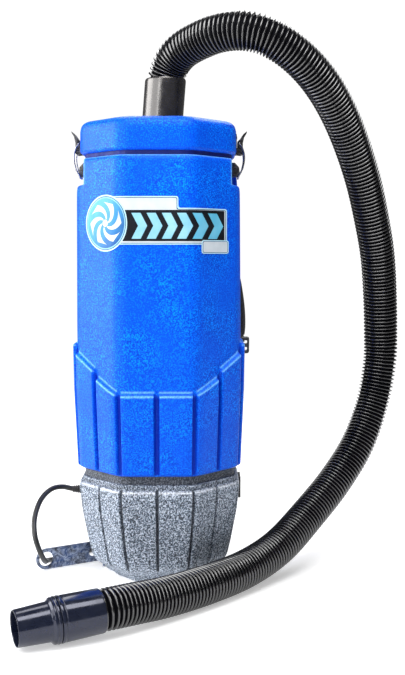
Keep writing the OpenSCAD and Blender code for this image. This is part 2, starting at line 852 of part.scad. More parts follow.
cord_bracket();
bracket_screws();
harness_plate();
harness_screws();
back_pad();
lumbar_pad();
mirrored("left") shoulder_strap();  // shoulder_strap_left
mirrored("right") shoulder_strap();  // shoulder_strap_right
strap_webbing();
mirrored("left") belt_wing();  // belt_left
mirrored("right") belt_wing();  // belt_right
belt_buckle_left();
belt_buckle_right();
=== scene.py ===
"""Looks of the backpack vacuum cleaner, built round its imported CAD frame.

The lists and sizes below are millimetres, as in the CAD source, and MM turns them into metres.
The front of the canister faces -Y, the harness is on +Y and the object stands on z = 0.
"""

import json
import math

import bmesh
import bpy
import numpy as np
from mathutils import Matrix, Vector


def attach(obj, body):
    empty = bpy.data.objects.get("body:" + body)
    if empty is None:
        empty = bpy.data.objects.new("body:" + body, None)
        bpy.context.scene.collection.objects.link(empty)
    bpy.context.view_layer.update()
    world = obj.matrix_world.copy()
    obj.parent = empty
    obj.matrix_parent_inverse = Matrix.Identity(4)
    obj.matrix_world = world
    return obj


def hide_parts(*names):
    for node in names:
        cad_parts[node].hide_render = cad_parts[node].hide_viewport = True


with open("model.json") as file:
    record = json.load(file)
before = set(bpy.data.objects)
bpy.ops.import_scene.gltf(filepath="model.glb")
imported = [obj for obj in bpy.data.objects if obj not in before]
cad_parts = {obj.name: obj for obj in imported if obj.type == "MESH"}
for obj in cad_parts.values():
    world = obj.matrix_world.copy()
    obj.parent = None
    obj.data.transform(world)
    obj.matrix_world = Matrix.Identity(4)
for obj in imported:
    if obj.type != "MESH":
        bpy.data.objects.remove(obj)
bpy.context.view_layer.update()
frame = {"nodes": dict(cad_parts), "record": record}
scene = bpy.context.scene
MM = 0.001
FULL_TURN = 2 * math.pi


# ---------------------------------------------------------------- camera

def make_camera():
    """Stands in front of the machine at the height of its badge and looks a little down."""
    data = bpy.data.cameras.new("camera")
    data.sensor_width = 36
    data.lens = 51.84
    camera = bpy.data.objects.new("camera", data)
    camera.location = (0.056, -1.281, 0.424)
    camera.rotation_euler = (math.radians(90 - 4.95), 0, 0)
    scene.collection.objects.link(camera)
    scene.camera = camera


make_camera()


# ---------------------------------------------------------------- materials

SURFACES = {}


class Finish:
    """A node material whose patterns are sized in millimetres of the object itself."""

    def __init__(self, name, **sockets):
        self.name = name
        self.material = bpy.data.materials.new(name)
        self.material.use_nodes = True
        self.tree = self.material.node_tree
        self.shader = self.tree.nodes["Principled BSDF"]
        self.place = self.node("TexCoord").outputs["Object"]
        self.normal = None
        for socket, value in sockets.items():
            self.shader.inputs[socket.replace("_", " ")].default_value = value

    def node(self, kind, **values):
        made = self.tree.nodes.new("ShaderNode" + kind)
        for key, value in values.items():
            setattr(made, key, value)
        return made

    def link(self, source, target):
        self.tree.links.new(source, target)

    def put(self, socket, value):
        """Gives an input a number, a colour or the output of another node."""
        if isinstance(value, (int, float)):
            socket.default_value = value
        elif isinstance(value, tuple):
            socket.default_value = (*value, 1)
        else:
            self.link(value, socket)

    def noise(self, size, detail=2.0, roughness=0.5, stretch=None, distortion=0.0):
        """Soft noise whose blobs are about size across; stretch makes them longer along an axis."""
        made = self.node("TexNoise")
        made.inputs["Scale"].default_value = 1 / (size * MM)
        made.inputs["Detail"].default_value = detail
        made.inputs["Roughness"].default_value = roughness
        made.inputs["Distortion"].default_value = distortion
        self.link(self.stretched(stretch), made.inputs["Vector"])
        return made.outputs["Fac"]

    def cells(self, size, stretch=None, feature="F1"):
        made = self.node("TexVoronoi", feature=feature)
        made.inputs["Scale"].default_value = 1 / (size * MM)
        self.link(self.stretched(stretch), made.inputs["Vector"])
        return made.outputs["Distance"]

    def wave(self, size, axis, source=None):
        """Even ridges across an axis, size from one to the next."""
        made = self.node("TexWave", wave_type="BANDS", bands_direction=axis)
        made.inputs["Scale"].default_value = math.pi / 10 / (size * MM)
        self.link(source or self.place, made.inputs["Vector"])
        return made.outputs["Fac"]

    def stretched(self, stretch):
        if stretch is None:
            return self.place
        mapping = self.node("Mapping")
        mapping.inputs["Scale"].default_value = stretch
        self.link(self.place, mapping.inputs["Vector"])
        return mapping.outputs["Vector"]

    def painted_light(self, color, dark, pale, fine):
        """Paints shade and highlights on a moulding from the painted light kept on its mesh: -1 for painted
        shade in its grooves and recesses, 1 for painted highlights along its edges. dark is the painted
        shade's colour, pale the painted highlight's, and the grain fine breaks the highlights up.
        """
        painted_light = self.kept("painted_light")
        # low is the painted shade, high the painted highlight, broken up by the grain.
        groove = self.maths("MAXIMUM", self.maths("MULTIPLY", painted_light, -1.0), 0.0)
        low = self.maths("MULTIPLY", groove, 0.9)
        highlight_grain = self.ramp(fine, (0.3, 0.45), (0.6, 1.0))
        high = self.maths("MULTIPLY", self.maths("MAXIMUM", painted_light, 0.0), highlight_grain)
        return self.mix(high, self.mix(low, color, dark), pale)

    def kept(self, name, output="Fac"):
        """A value kept at each point of the mesh."""
        return self.node("Attribute", attribute_name=name).outputs[output]

    def uneven(self, size, low, high, detail=2.0):
        """A value that drifts between low and high in blobs about size across."""
        return self.ramp(self.noise(size, detail), (0.3, low), (0.7, high))

    def ramp(self, fac, *stops):
        """Turns a number into a colour or grey between (position, colour or grey) stops."""
        made = self.node("ValToRGB")
        points = made.color_ramp.elements
        while len(points) < len(stops):
            points.new(0.5)
        for point, (position, value) in zip(points, stops):
            point.position = position
            point.color = (*value, 1) if isinstance(value, tuple) else (value, value, value, 1)
        self.link(fac, made.inputs["Fac"])
        return made.outputs["Color"]

    def mix(self, fac, a, b, blend="MIX"):
        made = self.node("Mix", data_type="RGBA", blend_type=blend)
        self.put(made.inputs[0], fac)
        self.put(made.inputs[6], a)
        self.put(made.inputs[7], b)
        return made.outputs[2]

    def maths(self, operation, a, b=0.0):
        made = self.node("Math", operation=operation)
        self.put(made.inputs[0], a)
        self.put(made.inputs[1], b)
        return made.outputs[0]

    def bump(self, height, depth, strength=1.0):
        """Adds bumps of the given depth in millimetres on top of what is there already."""
        made = self.node("Bump")
        made.inputs["Strength"].default_value = strength
        made.inputs["Distance"].default_value = depth * MM
        self.link(height, made.inputs["Height"])
        if self.normal is not None:
            self.link(self.normal, made.inputs["Normal"])
        self.normal = made.outputs["Normal"]

    def done(self, color, roughness):
        """Gives the shader its colour and roughness, and files the finished material under its name."""
        self.link(color, self.shader.inputs["Base Color"])
        self.link(roughness, self.shader.inputs["Roughness"])
        if self.normal is not None:
            self.link(self.normal, self.shader.inputs["Normal"])
        SURFACES[self.name] = self.material
        return self.material


def blue_shell():
    """Rotationally moulded polyethylene: soft waves, a fine grain, and pale flecks painted in as glints of
    the grain.
    """
    f = Finish("blue_shell", Specular_IOR_Level=0.38, Specular_Tint=(0.26, 0.62, 1.0, 1))
    grain = f.noise(1.7, 1, 0.6)
    cloud = f.noise(70, 2)
    patches = f.ramp(f.noise(52, 2), (0.38, 0.35), (0.64, 1.0))
    body = f.mix(cloud, (0.0, 0.053, 0.60), (0.0, 0.089, 0.81))
    # Pale flecks in patches: painted glints of the grain.
    glint_flecks = f.maths("MULTIPLY", f.ramp(grain, (0.50, 0.0), (0.66, 1.0)), patches)
    pits = f.maths("MULTIPLY", f.ramp(grain, (0.34, 1.0), (0.48, 0.0)), patches)
    color = f.mix(pits, f.mix(glint_flecks, body, (0.0, 0.27, 1.0)), (0.0, 0.034, 0.50))
    # Painted shade in deep navy in the grooves and recesses, and painted highlights in pale blue along the
    # edges.
    color = f.painted_light(color, (0.0, 0.004, 0.32), (0.20, 0.56, 1.0), grain)
    f.bump(f.noise(46, 1), 1.2, 0.35)
    f.bump(grain, 0.3, 0.8)
    return f.done(color, f.uneven(5, 0.38, 0.5))


def speckled_grey():
    """Moulded grey plastic with black, grey and near white specks like granite."""
    f = Finish("speckled_grey")
    coarse = f.noise(1.9, 1, 0.6)
    fine = f.noise(1.5, 1, 0.6, stretch=(1, 1, 0.9))
    stone = f.ramp(coarse, (0.34, (0.006, 0.010, 0.020)), (0.44, (0.05, 0.07, 0.10)),
                   (0.55, (0.17, 0.22, 0.29)), (0.66, (0.56, 0.62, 0.72)))
    color = f.mix(f.ramp(fine, (0.58, 0.0), (0.70, 1.0)), stone, (0.62, 0.67, 0.77))
    # Painted shade in near black in the grooves and on the neck, and painted highlights in pale grey along
    # the top edge and the neck's step.
    color = f.painted_light(color, (0.008, 0.010, 0.018), (0.80, 0.84, 0.92), coarse)
    f.bump(f.noise(46, 1), 1.0, 0.3)
    f.bump(coarse, 0.35, 0.6)
    return f.done(color, f.ramp(fine, (0.3, 0.5), (0.7, 0.68)))


def black_plastic(name, color, roughness, grain=1.0, depth=0.08, dust=0.04, coat=0.0, kind="", **sockets):
    """Black moulding with a fine texture, slight grey dust and uneven gloss.

    A drawn one has long streaks; a ribbed one shines on its crests only, as its valleys' reflections are
    taken out: a painted shade.
    """
    f = Finish(name, Coat_Weight=coat, Coat_Roughness=0.12, **sockets)
    if kind == "drawn":
        f.shader.inputs["Coat Roughness"].default_value = 0.24
        f.bump(f.noise(9, 2, stretch=(1, 1, 0.12)), 1.0, 0.6)
    if kind == "ribbed":
        # The crests keep their reflections and the valleys lose theirs: painted shade between the ribs.
        crest = f.ramp(f.kept("painted_light"), (0.25, 0.0), (0.85, 1.0))
        f.link(f.maths("MULTIPLY", crest, 0.85), f.shader.inputs["Specular IOR Level"])
        f.link(f.maths("MULTIPLY", crest, coat), f.shader.inputs["Coat Weight"])
    haze = f.ramp(f.noise(18, 4, 0.6), (0.35, 0.0), (0.8, 1.0))
    paler = tuple(c + dust for c in color)
    f.bump(f.noise(grain, 3, 0.6), depth, 0.6)
    gloss = f.uneven(9, max(roughness - 0.06, 0.04), roughness + 0.08, 3)
    return f.done(f.mix(haze, color, paler), gloss)


def rubber(name, color=(0.014, 0.014, 0.015), pale=(0.05, 0.05, 0.052)):
    f = Finish(name)
    f.bump(f.noise(0.6, 3, 0.7), 0.05, 0.8)
    bloom = f.ramp(f.noise(14, 4, 0.6), (0.4, 0.0), (0.9, 1.0))
    return f.done(f.mix(bloom, color, pale), f.uneven(6, 0.55, 0.75))


def metal(name, color, roughness, streak=None, tarnish=(0.12, 0.11, 0.10)):
    """Bare metal with fine brushed streaks or grain and dull patches."""
    f = Finish(name, Metallic=1.0)
    lines = f.noise(1.2, 4, 0.7, stretch=streak)
    patches = f.ramp(f.noise(11, 5, 0.65), (0.45, 0.0), (0.85, 0.55))
    f.bump(lines, 0.03, 0.5)
    return f.done(f.mix(patches, color, tarnish),
                  f.ramp(lines, (0.3, max(roughness - 0.08, 0.05)), (0.7, roughness + 0.12)))


def coated_steel(name, color, scuff, roughness):
    """Black coated steel, scuffed grey in smears and scratches."""
    f = Finish(name, Specular_IOR_Level=0.55)
    smears = f.noise(8, 6, 0.72, distortion=0.8)
    scratches = f.noise(1.4, 4, 0.8, stretch=(0.12, 1.0, 1.0))
    worn = f.maths("MULTIPLY", f.ramp(smears, (0.46, 0.0), (0.72, 1.0)),
                   f.ramp(scratches, (0.38, 0.35), (0.62, 1.0)))
    f.bump(f.noise(0.9, 3, 0.6), 0.05, 0.6)
    return f.done(f.mix(worn, color, scuff), f.ramp(smears, (0.3, roughness), (0.7, roughness + 0.22)))


def bracket_steel():
    """A steel strip whose dark coating is scratched to grey and mottled with blue."""
    f = Finish("bracket_steel", Metallic=0.35)
    smears = f.noise(7, 6, 0.75, distortion=1.2)
    tint = f.mix(f.ramp(f.noise(12, 3), (0.42, 0.0), (0.6, 1.0)), (0.02, 0.025, 0.045), (0.02, 0.05, 0.15))
    worn = f.ramp(smears, (0.42, 0.0), (0.52, 0.4), (0.62, 1.0))
    color = f.mix(worn, tint, (0.33, 0.39, 0.52))
    f.bump(smears, 0.12, 0.5)
    return f.done(color, f.ramp(smears, (0.3, 0.30), (0.7, 0.5)))


def cloth(name, color, pale, thread, depth):
    """Woven cloth: over and under threads, with lint and uneven dye."""
    f = Finish(name, Sheen_Weight=0.3, Sheen_Roughness=0.5, Specular_IOR_Level=0.25)
    across, up = f.wave(thread, "X"), f.wave(thread, "Z")
    weave = f.maths("MULTIPLY", across, up)
    shade = f.mix(f.ramp(f.noise(22, 4), (0.35, 0.0), (0.75, 1.0)), color, pale)
    dips = f.ramp(weave, (0.0, 0.45), (0.5, 1.0))
    f.bump(weave, depth, 0.8)
    f.bump(f.noise(3, 3), 0.15, 0.4)
    return f.done(f.mix(1.0, shade, dips, "MULTIPLY"), f.uneven(4, 0.77, 0.91))


def mesh_cloth(name, color, pale, hole):
    """Spacer mesh: a net of small round holes over foam."""
    f = Finish(name, Sheen_Weight=0.35, Sheen_Roughness=0.5, Specular_IOR_Level=0.2)
    net = f.cells(hole, stretch=(1, 0.6, 1))
    threads = f.mix(f.ramp(net, (0.25, 0.0), (0.45, 1.0)), color, pale)
    f.bump(net, 0.5, 0.9)
    f.bump(f.noise(9, 3), 0.5, 0.3)
    return f.done(threads, f.uneven(4, 0.8, 0.92))


def webbing():
    """Woven webbing: ribs across the strip and a flat selvedge, laid out along each strip."""
    f = Finish("webbing", Sheen_Weight=0.25, Sheen_Roughness=0.4, Specular_IOR_Level=0.4)
    place = f.kept("strip_place", "Vector")
    ribs = f.wave(1.9, "Y", place)
    twill = f.wave(3.2, "DIAGONAL", place)
    weave = f.maths("MULTIPLY", ribs, f.ramp(twill, (0.2, 0.5), (0.8, 1.0)))
    color = f.ramp(weave, (0.0, (0.004, 0.004, 0.005)), (0.6, (0.022, 0.022, 0.025)),
                   (1.0, (0.05, 0.05, 0.055)))
    f.bump(weave, 0.35, 0.9)
    return f.done(color, f.uneven(5, 0.5, 0.68))


def printed_film(name, paint):
    """Printed vinyl under a clear film, with faint ripples where it is stuck down. paint gives its colour."""
    f = Finish(name, Coat_Weight=0.08, Coat_Roughness=0.3, Specular_IOR_Level=0.2)
    f.bump(f.noise(7, 2), 0.12, 0.35)
    return f.done(paint(f), f.uneven(4, 0.42, 0.52))


def film(name, color, pale):
    return printed_film(name, lambda f: f.mix(f.uneven(16, 0.0, 1.0, 3), color, pale))


def globe_film():
    """The medallion's ground: pale blue that deepens towards its lower right."""
    def paint(f):
        split = f.node("SeparateXYZ")
        f.link(f.place, split.inputs[0])
        across, height = split.outputs[0], f.maths("SUBTRACT", split.outputs[2], BADGE_Z * MM)
        lean = f.maths("SUBTRACT", f.maths("MULTIPLY", across, 9.0), f.maths("MULTIPLY", height, 9.0))
        patch = f.maths("ADD", f.maths("ADD", lean, 0.95), f.maths("MULTIPLY", f.noise(9, 3), 0.35))
        return f.ramp(patch, (0.2, (0.10, 0.40, 0.64)), (0.62, (0.04, 0.24, 0.52)), (0.9, (0.01, 0.08, 0.30)))

    return printed_film("badge_ground", paint)


def paper():
    f = Finish("bag_paper", Specular_IOR_Level=0.2)
    fibres = f.noise(1.6, 5, 0.7, stretch=(1, 1, 0.3))
    creases = f.cells(38, stretch=(1, 1, 0.5), feature="DISTANCE_TO_EDGE")
    f.bump(f.ramp(creases, (0.0, 0.0), (0.12, 1.0)), 0.7, 0.5)
    f.bump(fibres, 0.08, 0.7)
    return f.done(f.ramp(fibres, (0.3, (0.50, 0.35, 0.19)), (0.7, (0.74, 0.57, 0.36))),
                  f.ramp(fibres, (0.3, 0.82), (0.7, 0.92)))


def board():
    f = Finish("bag_board", Specular_IOR_Level=0.25)
    pulp = f.noise(2.2, 5, 0.7)
    f.bump(pulp, 0.1, 0.6)
    return f.done(f.ramp(pulp, (0.3, (0.36, 0.23, 0.12)), (0.7, (0.58, 0.42, 0.26))),
                  f.ramp(pulp, (0.3, 0.7), (0.7, 0.85)))


def foam():
    f = Finish("foam", Specular_IOR_Level=0.2)
    pores = f.cells(1.6)
    f.bump(pores, 0.7, 1.0)
    return f.done(f.ramp(pores, (0.1, (0.015, 0.015, 0.017)), (0.6, (0.09, 0.09, 0.10))),
                  f.ramp(pores, (0.2, 0.8), (0.7, 0.95)))


def lamination():
    f = Finish("lamination", Metallic=0.8)
    layers = f.wave(0.7, "Z")
    f.bump(layers, 0.15, 0.9)
    return f.done(f.ramp(layers, (0.0, (0.05, 0.05, 0.055)), (1.0, (0.32, 0.32, 0.34))),
                  f.uneven(6, 0.35, 0.55))


def make_surfaces():
    """Every finish. One for a material slot of the record has the slot's name."""
    blue_shell()
    speckled_grey()
    bracket_steel()
    lamination()
    foam()
    webbing()
    paper()
    board()
    globe_film()
    rubber("black_rubber")
    rubber("carbon", (0.03, 0.03, 0.032))
    # The lid's gasket in the navy of the shaded blue seam round it: painted shade.
    rubber("seam_shade_navy", (0.0, 0.008, 0.15), (0.003, 0.018, 0.22))
    metal("zinc", (0.62, 0.62, 0.60), 0.32, tarnish=(0.30, 0.29, 0.27))
    metal("wire", (0.42, 0.42, 0.43), 0.25)
    metal("stamped_metal", (0.70, 0.70, 0.71), 0.28, (1, 1, 0.1))
    metal("cast_metal", (0.48, 0.48, 0.48), 0.5)
    metal("copper", (0.72, 0.36, 0.18), 0.3, tarnish=(0.25, 0.12, 0.06))
    metal("shaft_steel", (0.62, 0.62, 0.63), 0.2, (0.05, 0.05, 1))
    coated_steel("black_latch", (0.010, 0.010, 0.012), (0.22, 0.22, 0.23), 0.28)
    black_plastic("black_moulding", (0.012, 0.012, 0.014), 0.42)
    black_plastic("rocker_red", (0.42, 0.008, 0.008), 0.26, 1.2, 0.03, 0.02, 0.4)
    black_plastic("cord_jacket", (0.010, 0.010, 0.011), 0.36, 0.8, 0.04, 0.015)
    black_plastic("cuff_gloss", (0.010, 0.010, 0.013), 0.24, 2.5, 0.02, 0.012, 1.0, "drawn",
                  Specular_IOR_Level=0.8, Coat_Tint=(1.0, 0.95, 0.90, 1))
    black_plastic("hose_plastic", (0.0030, 0.0030, 0.0045), 0.20, 1.4, 0.02, 0.005, 0.6, "ribbed")
    black_plastic("cuff_satin", (0.007, 0.010, 0.024), 0.15, 2.0, 0.03, 0.008, 0.22,
                  Specular_IOR_Level=0.5, Specular_Tint=(0.80, 0.82, 1.0, 1))
    mesh_cloth("pad_fabric", (0.004, 0.004, 0.005), (0.035, 0.035, 0.04), 3.4)
    cloth("strap_fabric", (0.014, 0.014, 0.016), (0.032, 0.032, 0.036), 1.7, 0.35)
    cloth("filter_cloth", (0.62, 0.62, 0.60), (0.48, 0.47, 0.44), 1.6, 0.3)
    cloth("thread", (0.05, 0.05, 0.055), (0.09, 0.09, 0.10), 0.5, 0.05)
    cloth("piping", (0.010, 0.010, 0.012), (0.03, 0.03, 0.034), 0.9, 0.1)
    film("badge_film", (0.42, 0.70, 0.84), (0.54, 0.78, 0.88))
    film("badge_white", (0.50, 0.56, 0.62), (0.60, 0.65, 0.70))
    film("badge_black", (0.002, 0.003, 0.006), (0.006, 0.008, 0.014))
    film("badge_navy", (0.01, 0.05, 0.16), (0.02, 0.08, 0.22))
    film("badge_pale", (0.20, 0.50, 0.66), (0.32, 0.60, 0.74))
    film("badge_cyan", (0.09, 0.42, 0.64), (0.16, 0.50, 0.70))


BADGE_Z = 460.5  # the height of the badge's middle
make_surfaces()


# ---------------------------------------------------------------- mesh helpers

def unit(v):
    return v / np.linalg.norm(v)


def smooth(t):
    """0 below 0 and 1 above 1, with soft ends."""
    t = np.clip(t, 0, 1)
    return t * t * (3 - 2 * t)


def shown(name, mesh):
    """A new object in the scene with this mesh."""
    made = bpy.data.objects.new(name, mesh)
    scene.collection.objects.link(made)
    return made


def mesh_object(name, points, faces):
    """A mesh object from points in millimetres, with its normals facing out."""
    mesh = bpy.data.meshes.new(name)
    mesh.from_pydata((np.asarray(points, float) * MM).tolist(), [], faces)
    work = bmesh.new()
    work.from_mesh(mesh)
    bmesh.ops.recalc_face_normals(work, faces=work.faces)
    work.to_mesh(mesh)
    work.free()
    return shown(name, mesh)


def ring_faces(rings, loop=False, cap=False, first=0):
    """Faces over rings of equally many points that are numbered from first on."""
    n, m = len(rings[0]), len(rings)
    faces = []
    for k in range(m if loop else m - 1):
        a, b = first + k * n, first + (k + 1) % m * n
        faces += [(a + i, a + (i + 1) % n, b + (i + 1) % n, b + i) for i in range(n)]
    if cap:
        last = first + (m - 1) * n
        faces += [tuple(range(first + n - 1, first - 1, -1)), tuple(range(last, last + n))]
    return faces


def ring_surface(name, rings, loop=False, cap=False):
    """A skin over rings. loop joins the last ring to the first, cap closes both ends."""
    return mesh_object(name, np.concatenate(rings), ring_faces(rings, loop, cap))


def keep(made, name, values, kind="FLOAT"):
    """Stores a value at each point of a mesh for its material."""
    store = made.data.attributes.new(name, kind, "POINT")
    store.data.foreach_set("vector" if kind == "FLOAT_VECTOR" else "value", np.asarray(values, float).ravel())
    return made


def smooth_faces(made):
    made.data.polygons.foreach_set("use_smooth", [True] * len(made.data.polygons))


def piece(made, slot, body, *stands_for, sharp=180, surface=None):
    """Gives a new object its finish and shading, and fastens it to a CAD body."""
    made.data.materials.clear()
    made.data.materials.append(SURFACES[surface or slot])
    smooth_faces(made)
    if sharp < 180:
        made.data.set_sharp_from_angle(angle=math.radians(sharp))
    made.data.update()
    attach(made, body)
    if stands_for:
        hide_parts(*stands_for)
    return made


def modify(made, kind, **values):
    """Adds a modifier of a kind with its settings."""
    change = made.modifiers.new(kind.lower(), kind)
    for key, value in values.items():
        setattr(change, key, value)
    return change


def settle(made):
    """Applies an object's modifiers."""
    bpy.context.view_layer.update()
    evaluated = made.evaluated_get(bpy.context.evaluated_depsgraph_get())
    mesh = bpy.data.meshes.new_from_object(evaluated)
    made.modifiers.clear()
    made.data = mesh


def points_of(made):
    """An object's points, in millimetres."""
    return np.array([v.co for v in made.data.vertices]) / MM


def put_points(made, points):
    made.data.vertices.foreach_set("co", (points * MM).ravel())
    made.data.update()


def joined(name, parts):
    """One object from several loose ones."""
    work = bmesh.new()
    for part in parts:
        part.data.transform(part.matrix_basis)
        work.from_mesh(part.data)
        bpy.data.objects.remove(part)
    mesh = bpy.data.meshes.new(name)
    work.to_mesh(mesh)
    work.free()
    return shown(name, mesh)


def bend(u, p, v, t):
    """The point at share t of the curve from u to v that bends round p."""
    return (1 - t) ** 2 * u + 2 * t * (1 - t) * p + t * t * v


def fillet(points, radius, steps=4, closed=True):
    """A line or polygon whose corners are rounded by curves that reach radius along each side."""
    points = [np.array(p, float) for p in points]
    rounded = []
    for i, p in enumerate(points):
        if not closed and i in (0, len(points) - 1):
            rounded.append(p)
            continue
        to_a, to_b = points[i - 1] - p, points[(i + 1) % len(points)] - p
        cut = min(radius, 0.45 * np.linalg.norm(to_a), 0.45 * np.linalg.norm(to_b))
        u, v = p + unit(to_a) * cut, p + unit(to_b) * cut
        rounded += [bend(u, p, v, t) for t in np.linspace(0, 1, steps + 1)]
    return np.array(rounded)


def lathe_rings(profile, sides=96):
    turn = np.linspace(0, FULL_TURN, sides, endpoint=False)
    return [np.column_stack([r * np.cos(turn), r * np.sin(turn), np.full(sides, z)]) for r, z in profile]


def lathe(name, profile, place=None, sides=96, round_by=0.8):
    """A ring turned about Z through a closed outline of (radius, height), then moved to place."""
    made = ring_surface(name, lathe_rings(fillet(profile, round_by), sides), loop=True)
    if place is not None:
        move(made, place)
    return made


def move(made, place):
    """Moves an object's mesh by a matrix in millimetres."""
    matrix = place.copy()
    matrix.translation = place.translation * MM
    made.data.transform(matrix)
    return made


def curve(points, steps):
    """Points of a smooth curve through a route, with steps of them in each stretch."""
    p = np.array(points, float)
    out = []
    for i in range(len(p) - 1):
        a, b, c, d = p[max(i - 1, 0)], p[i], p[i + 1], p[min(i + 2, len(p) - 1)]
        for t in np.arange(steps) / steps:
            out.append(0.5 * (2 * b + (c - a) * t + (2 * a - 5 * b + 4 * c - d) * t * t
                              + (3 * b - a - 3 * c + d) * t ** 3))
    out.append(p[-1])
    return np.array(out)


def steps_of(points):
    """The distances between a line's neighbouring points."""
    return np.linalg.norm(np.diff(points, axis=0), axis=1)


def length_of(points):
    return float(steps_of(points).sum())


def run_of(points):
    """How far along a line each of its points lies."""
    return np.concatenate([[0], np.cumsum(steps_of(points))])


def even(points, count):
    """The same line with count points, evenly spaced."""
    along = run_of(points)
    at = np.linspace(0, along[-1], count)
    return np.column_stack([np.interp(at, along, points[:, k]) for k in range(3)])


def frames(points, first):
    """Tangents of a line, and two directions square to it that turn as little as they can."""
    tangent = np.gradient(points, axis=0)
    tangent /= np.linalg.norm(tangent, axis=1)[:, None]
    side = np.array(first, float)
    sides = []
    for t in tangent:
        side = unit(side - (side @ t) * t)
        sides.append(side)
    sides = np.array(sides)
    return tangent, sides, np.cross(tangent, sides)


def circle(count):
    turn = np.linspace(0, FULL_TURN, count, endpoint=False)
    return np.cos(turn)[:, None], np.sin(turn)[:, None]


def squarish(count, width, height, power):
    """A closed outline of that size, from an ellipse at power 1 towards a box at power 0."""
    c, s = circle(count)
    return np.hstack([np.sign(c) * np.abs(c) ** power * width / 2,
                      np.sign(s) * np.abs(s) ** power * height / 2])


def tube_rings(points, radii, sides, first=(0, 1, 0.01)):
    """Rings of a round tube along a line."""
    _, s, u = frames(points, first)
    c, w = circle(sides)
    return [points[k] + radii[k] * (c * s[k] + w * u[k]) for k in range(len(points))]


# ---------------------------------------------------------------- the hose and the lead

HOSE_ROUTE = [
    [6.4, 0, 626], [7.6, -0.3, 640], [10.5, -2.5, 653], [17.5, -9, 668], [31, -22, 680.5], [52, -39, 689],
    [78, -58, 694.5], [107, -70, 694], [138, -72, 685.5], [169, -63, 668.5], [198, -45, 644.5],
    [224.5, -20, 613], [249, 9, 572.5], [271.5, 39, 523], [289, 67, 470], [301.5, 89, 422],
    [309, 107, 370], [313, 118, 315], [313, 121, 268], [302.5, 115, 210], [279, 96, 153], [243, 65, 106],
    [199, 22, 67], [157, -27, 39], [112, -78, 26], [61, -133.5, 24], [13, -178.5, 25], [-21.5, -208, 28],
    [-48.6, -228, 29.3], [-68.7, -237.2, 28.1], [-78.7, -241.8, 27.6],
]
HOSE_R = 23.9
HOSE_VALLEY_R = 20.1
HOSE_BORE_R = 19.0
RIB_PITCH = 5.35
RIB_RISE = [0, 0.04, 0.42, 0.9, 1, 0.9, 0.42, 0.04]  # how a rib rises and falls along one pitch

HOSE_SIDES = 44
PORT_X = 4  # the inlet's place on the lid


def turned(degrees, axis):
    return Matrix.Rotation(math.radians(degrees), 4, axis)


HOSE_END = Matrix.Translation((-57.1, -231.9, 28.8)) @ turned(204.5, "Z") @ turned(93, "Y")

CORD_ROUTE = [
    [-99, 38, 100], [-110, 38, 100], [-124, 38, 100.6], [-136, 36, 103.5], [-147.5, 29.5, 103.5],
    [-156.5, 19.5, 99], [-163, 7, 91], [-166.5, -6, 80], [-167.3, -16.5, 70], [-166, -25, 60.3],
    [-163.3, -31, 49.5], [-158.6, -32.6, 35.8], [-154.6, -27, 22.8], [-153, -17, 15.3],
    [-153.5, -5.5, 12.5], [-152.5, 7, 9.3], [-147, 21, 5.8], [-135.5, 37.5, 4], [-119, 54, 4],
    [-103, 70, 4], [-86, 86, 4], [-66, 100, 4], [-42, 111, 4], [-16, 118, 5], [8, 121, 9], [22, 122, 13],
    [34, 122, 14.5],
]
CORD_R = 3.5
CORD_EXIT = (-102.4, 38, 100)
PLUG_AT = tuple(CORD_ROUTE[-1])


def ribbed_hose():
    """Annular ribs with narrow crests over a smooth bore."""
    line = curve(HOSE_ROUTE, 12)
    ribs = round(length_of(line) / RIB_PITCH)
    line = even(line, ribs * len(RIB_RISE) + 1)
    rise = np.array(RIB_RISE * ribs + RIB_RISE[:1])
    outer = tube_rings(line, HOSE_VALLEY_R + (HOSE_R - HOSE_VALLEY_R) * rise, HOSE_SIDES)
    inner = tube_rings(line, np.full(len(line), HOSE_BORE_R), HOSE_SIDES)[::4]
    made = ring_surface("hose_ribbed", outer + inner[::-1], loop=True)
    # The ribs' rise is kept so that the material takes the reflections out of the valleys, a painted shade
    # between the ribs.
    keep(made, "painted_light", np.repeat(np.concatenate([rise, np.zeros(len(inner))]), HOSE_SIDES))
    return made, line


def end_cuff():
    """The satin cuff at the hose's free end, with a bead at its mouth."""
    return lathe("hose_end_cuff", [
        (24.1, 0.2), (24.6, 0), (24.9, 1.2), (25.7, 43.6), (25.1, 44.2), (25.1, 45.2), (25.9, 45.9),
        (26.1, 47.6), (25.8, 49.4), (24.1, 49.8)], HOSE_END, sides=128, round_by=0.5)


def wand_end():
    """The connector that turns in the end cuff: a flange, a short cone and a plain tip."""
    return lathe("wand_tip", [
        (18.9, 36), (23.85, 36), (23.92, 50.3), (25.5, 50.4), (26.1, 51.4), (26.0, 53.0), (25.2, 53.8),
        (25.2, 54.4), (25.7, 55.2), (25.2, 57.2), (22.6, 59.4), (22.0, 60.6), (20.3, 95.8), (19.9, 97),
        (19.2, 97), (18.9, 96)], HOSE_END, sides=128, round_by=0.45)


def lead():
    """A round flexible lead from the base, through the bracket's eye, to its plug."""
    line = curve(CORD_ROUTE, 8)
    line = even(line, round(length_of(line) / 3))
    return ring_surface("power_lead", tube_rings(line, np.full(len(line), CORD_R), 20), cap=True), line


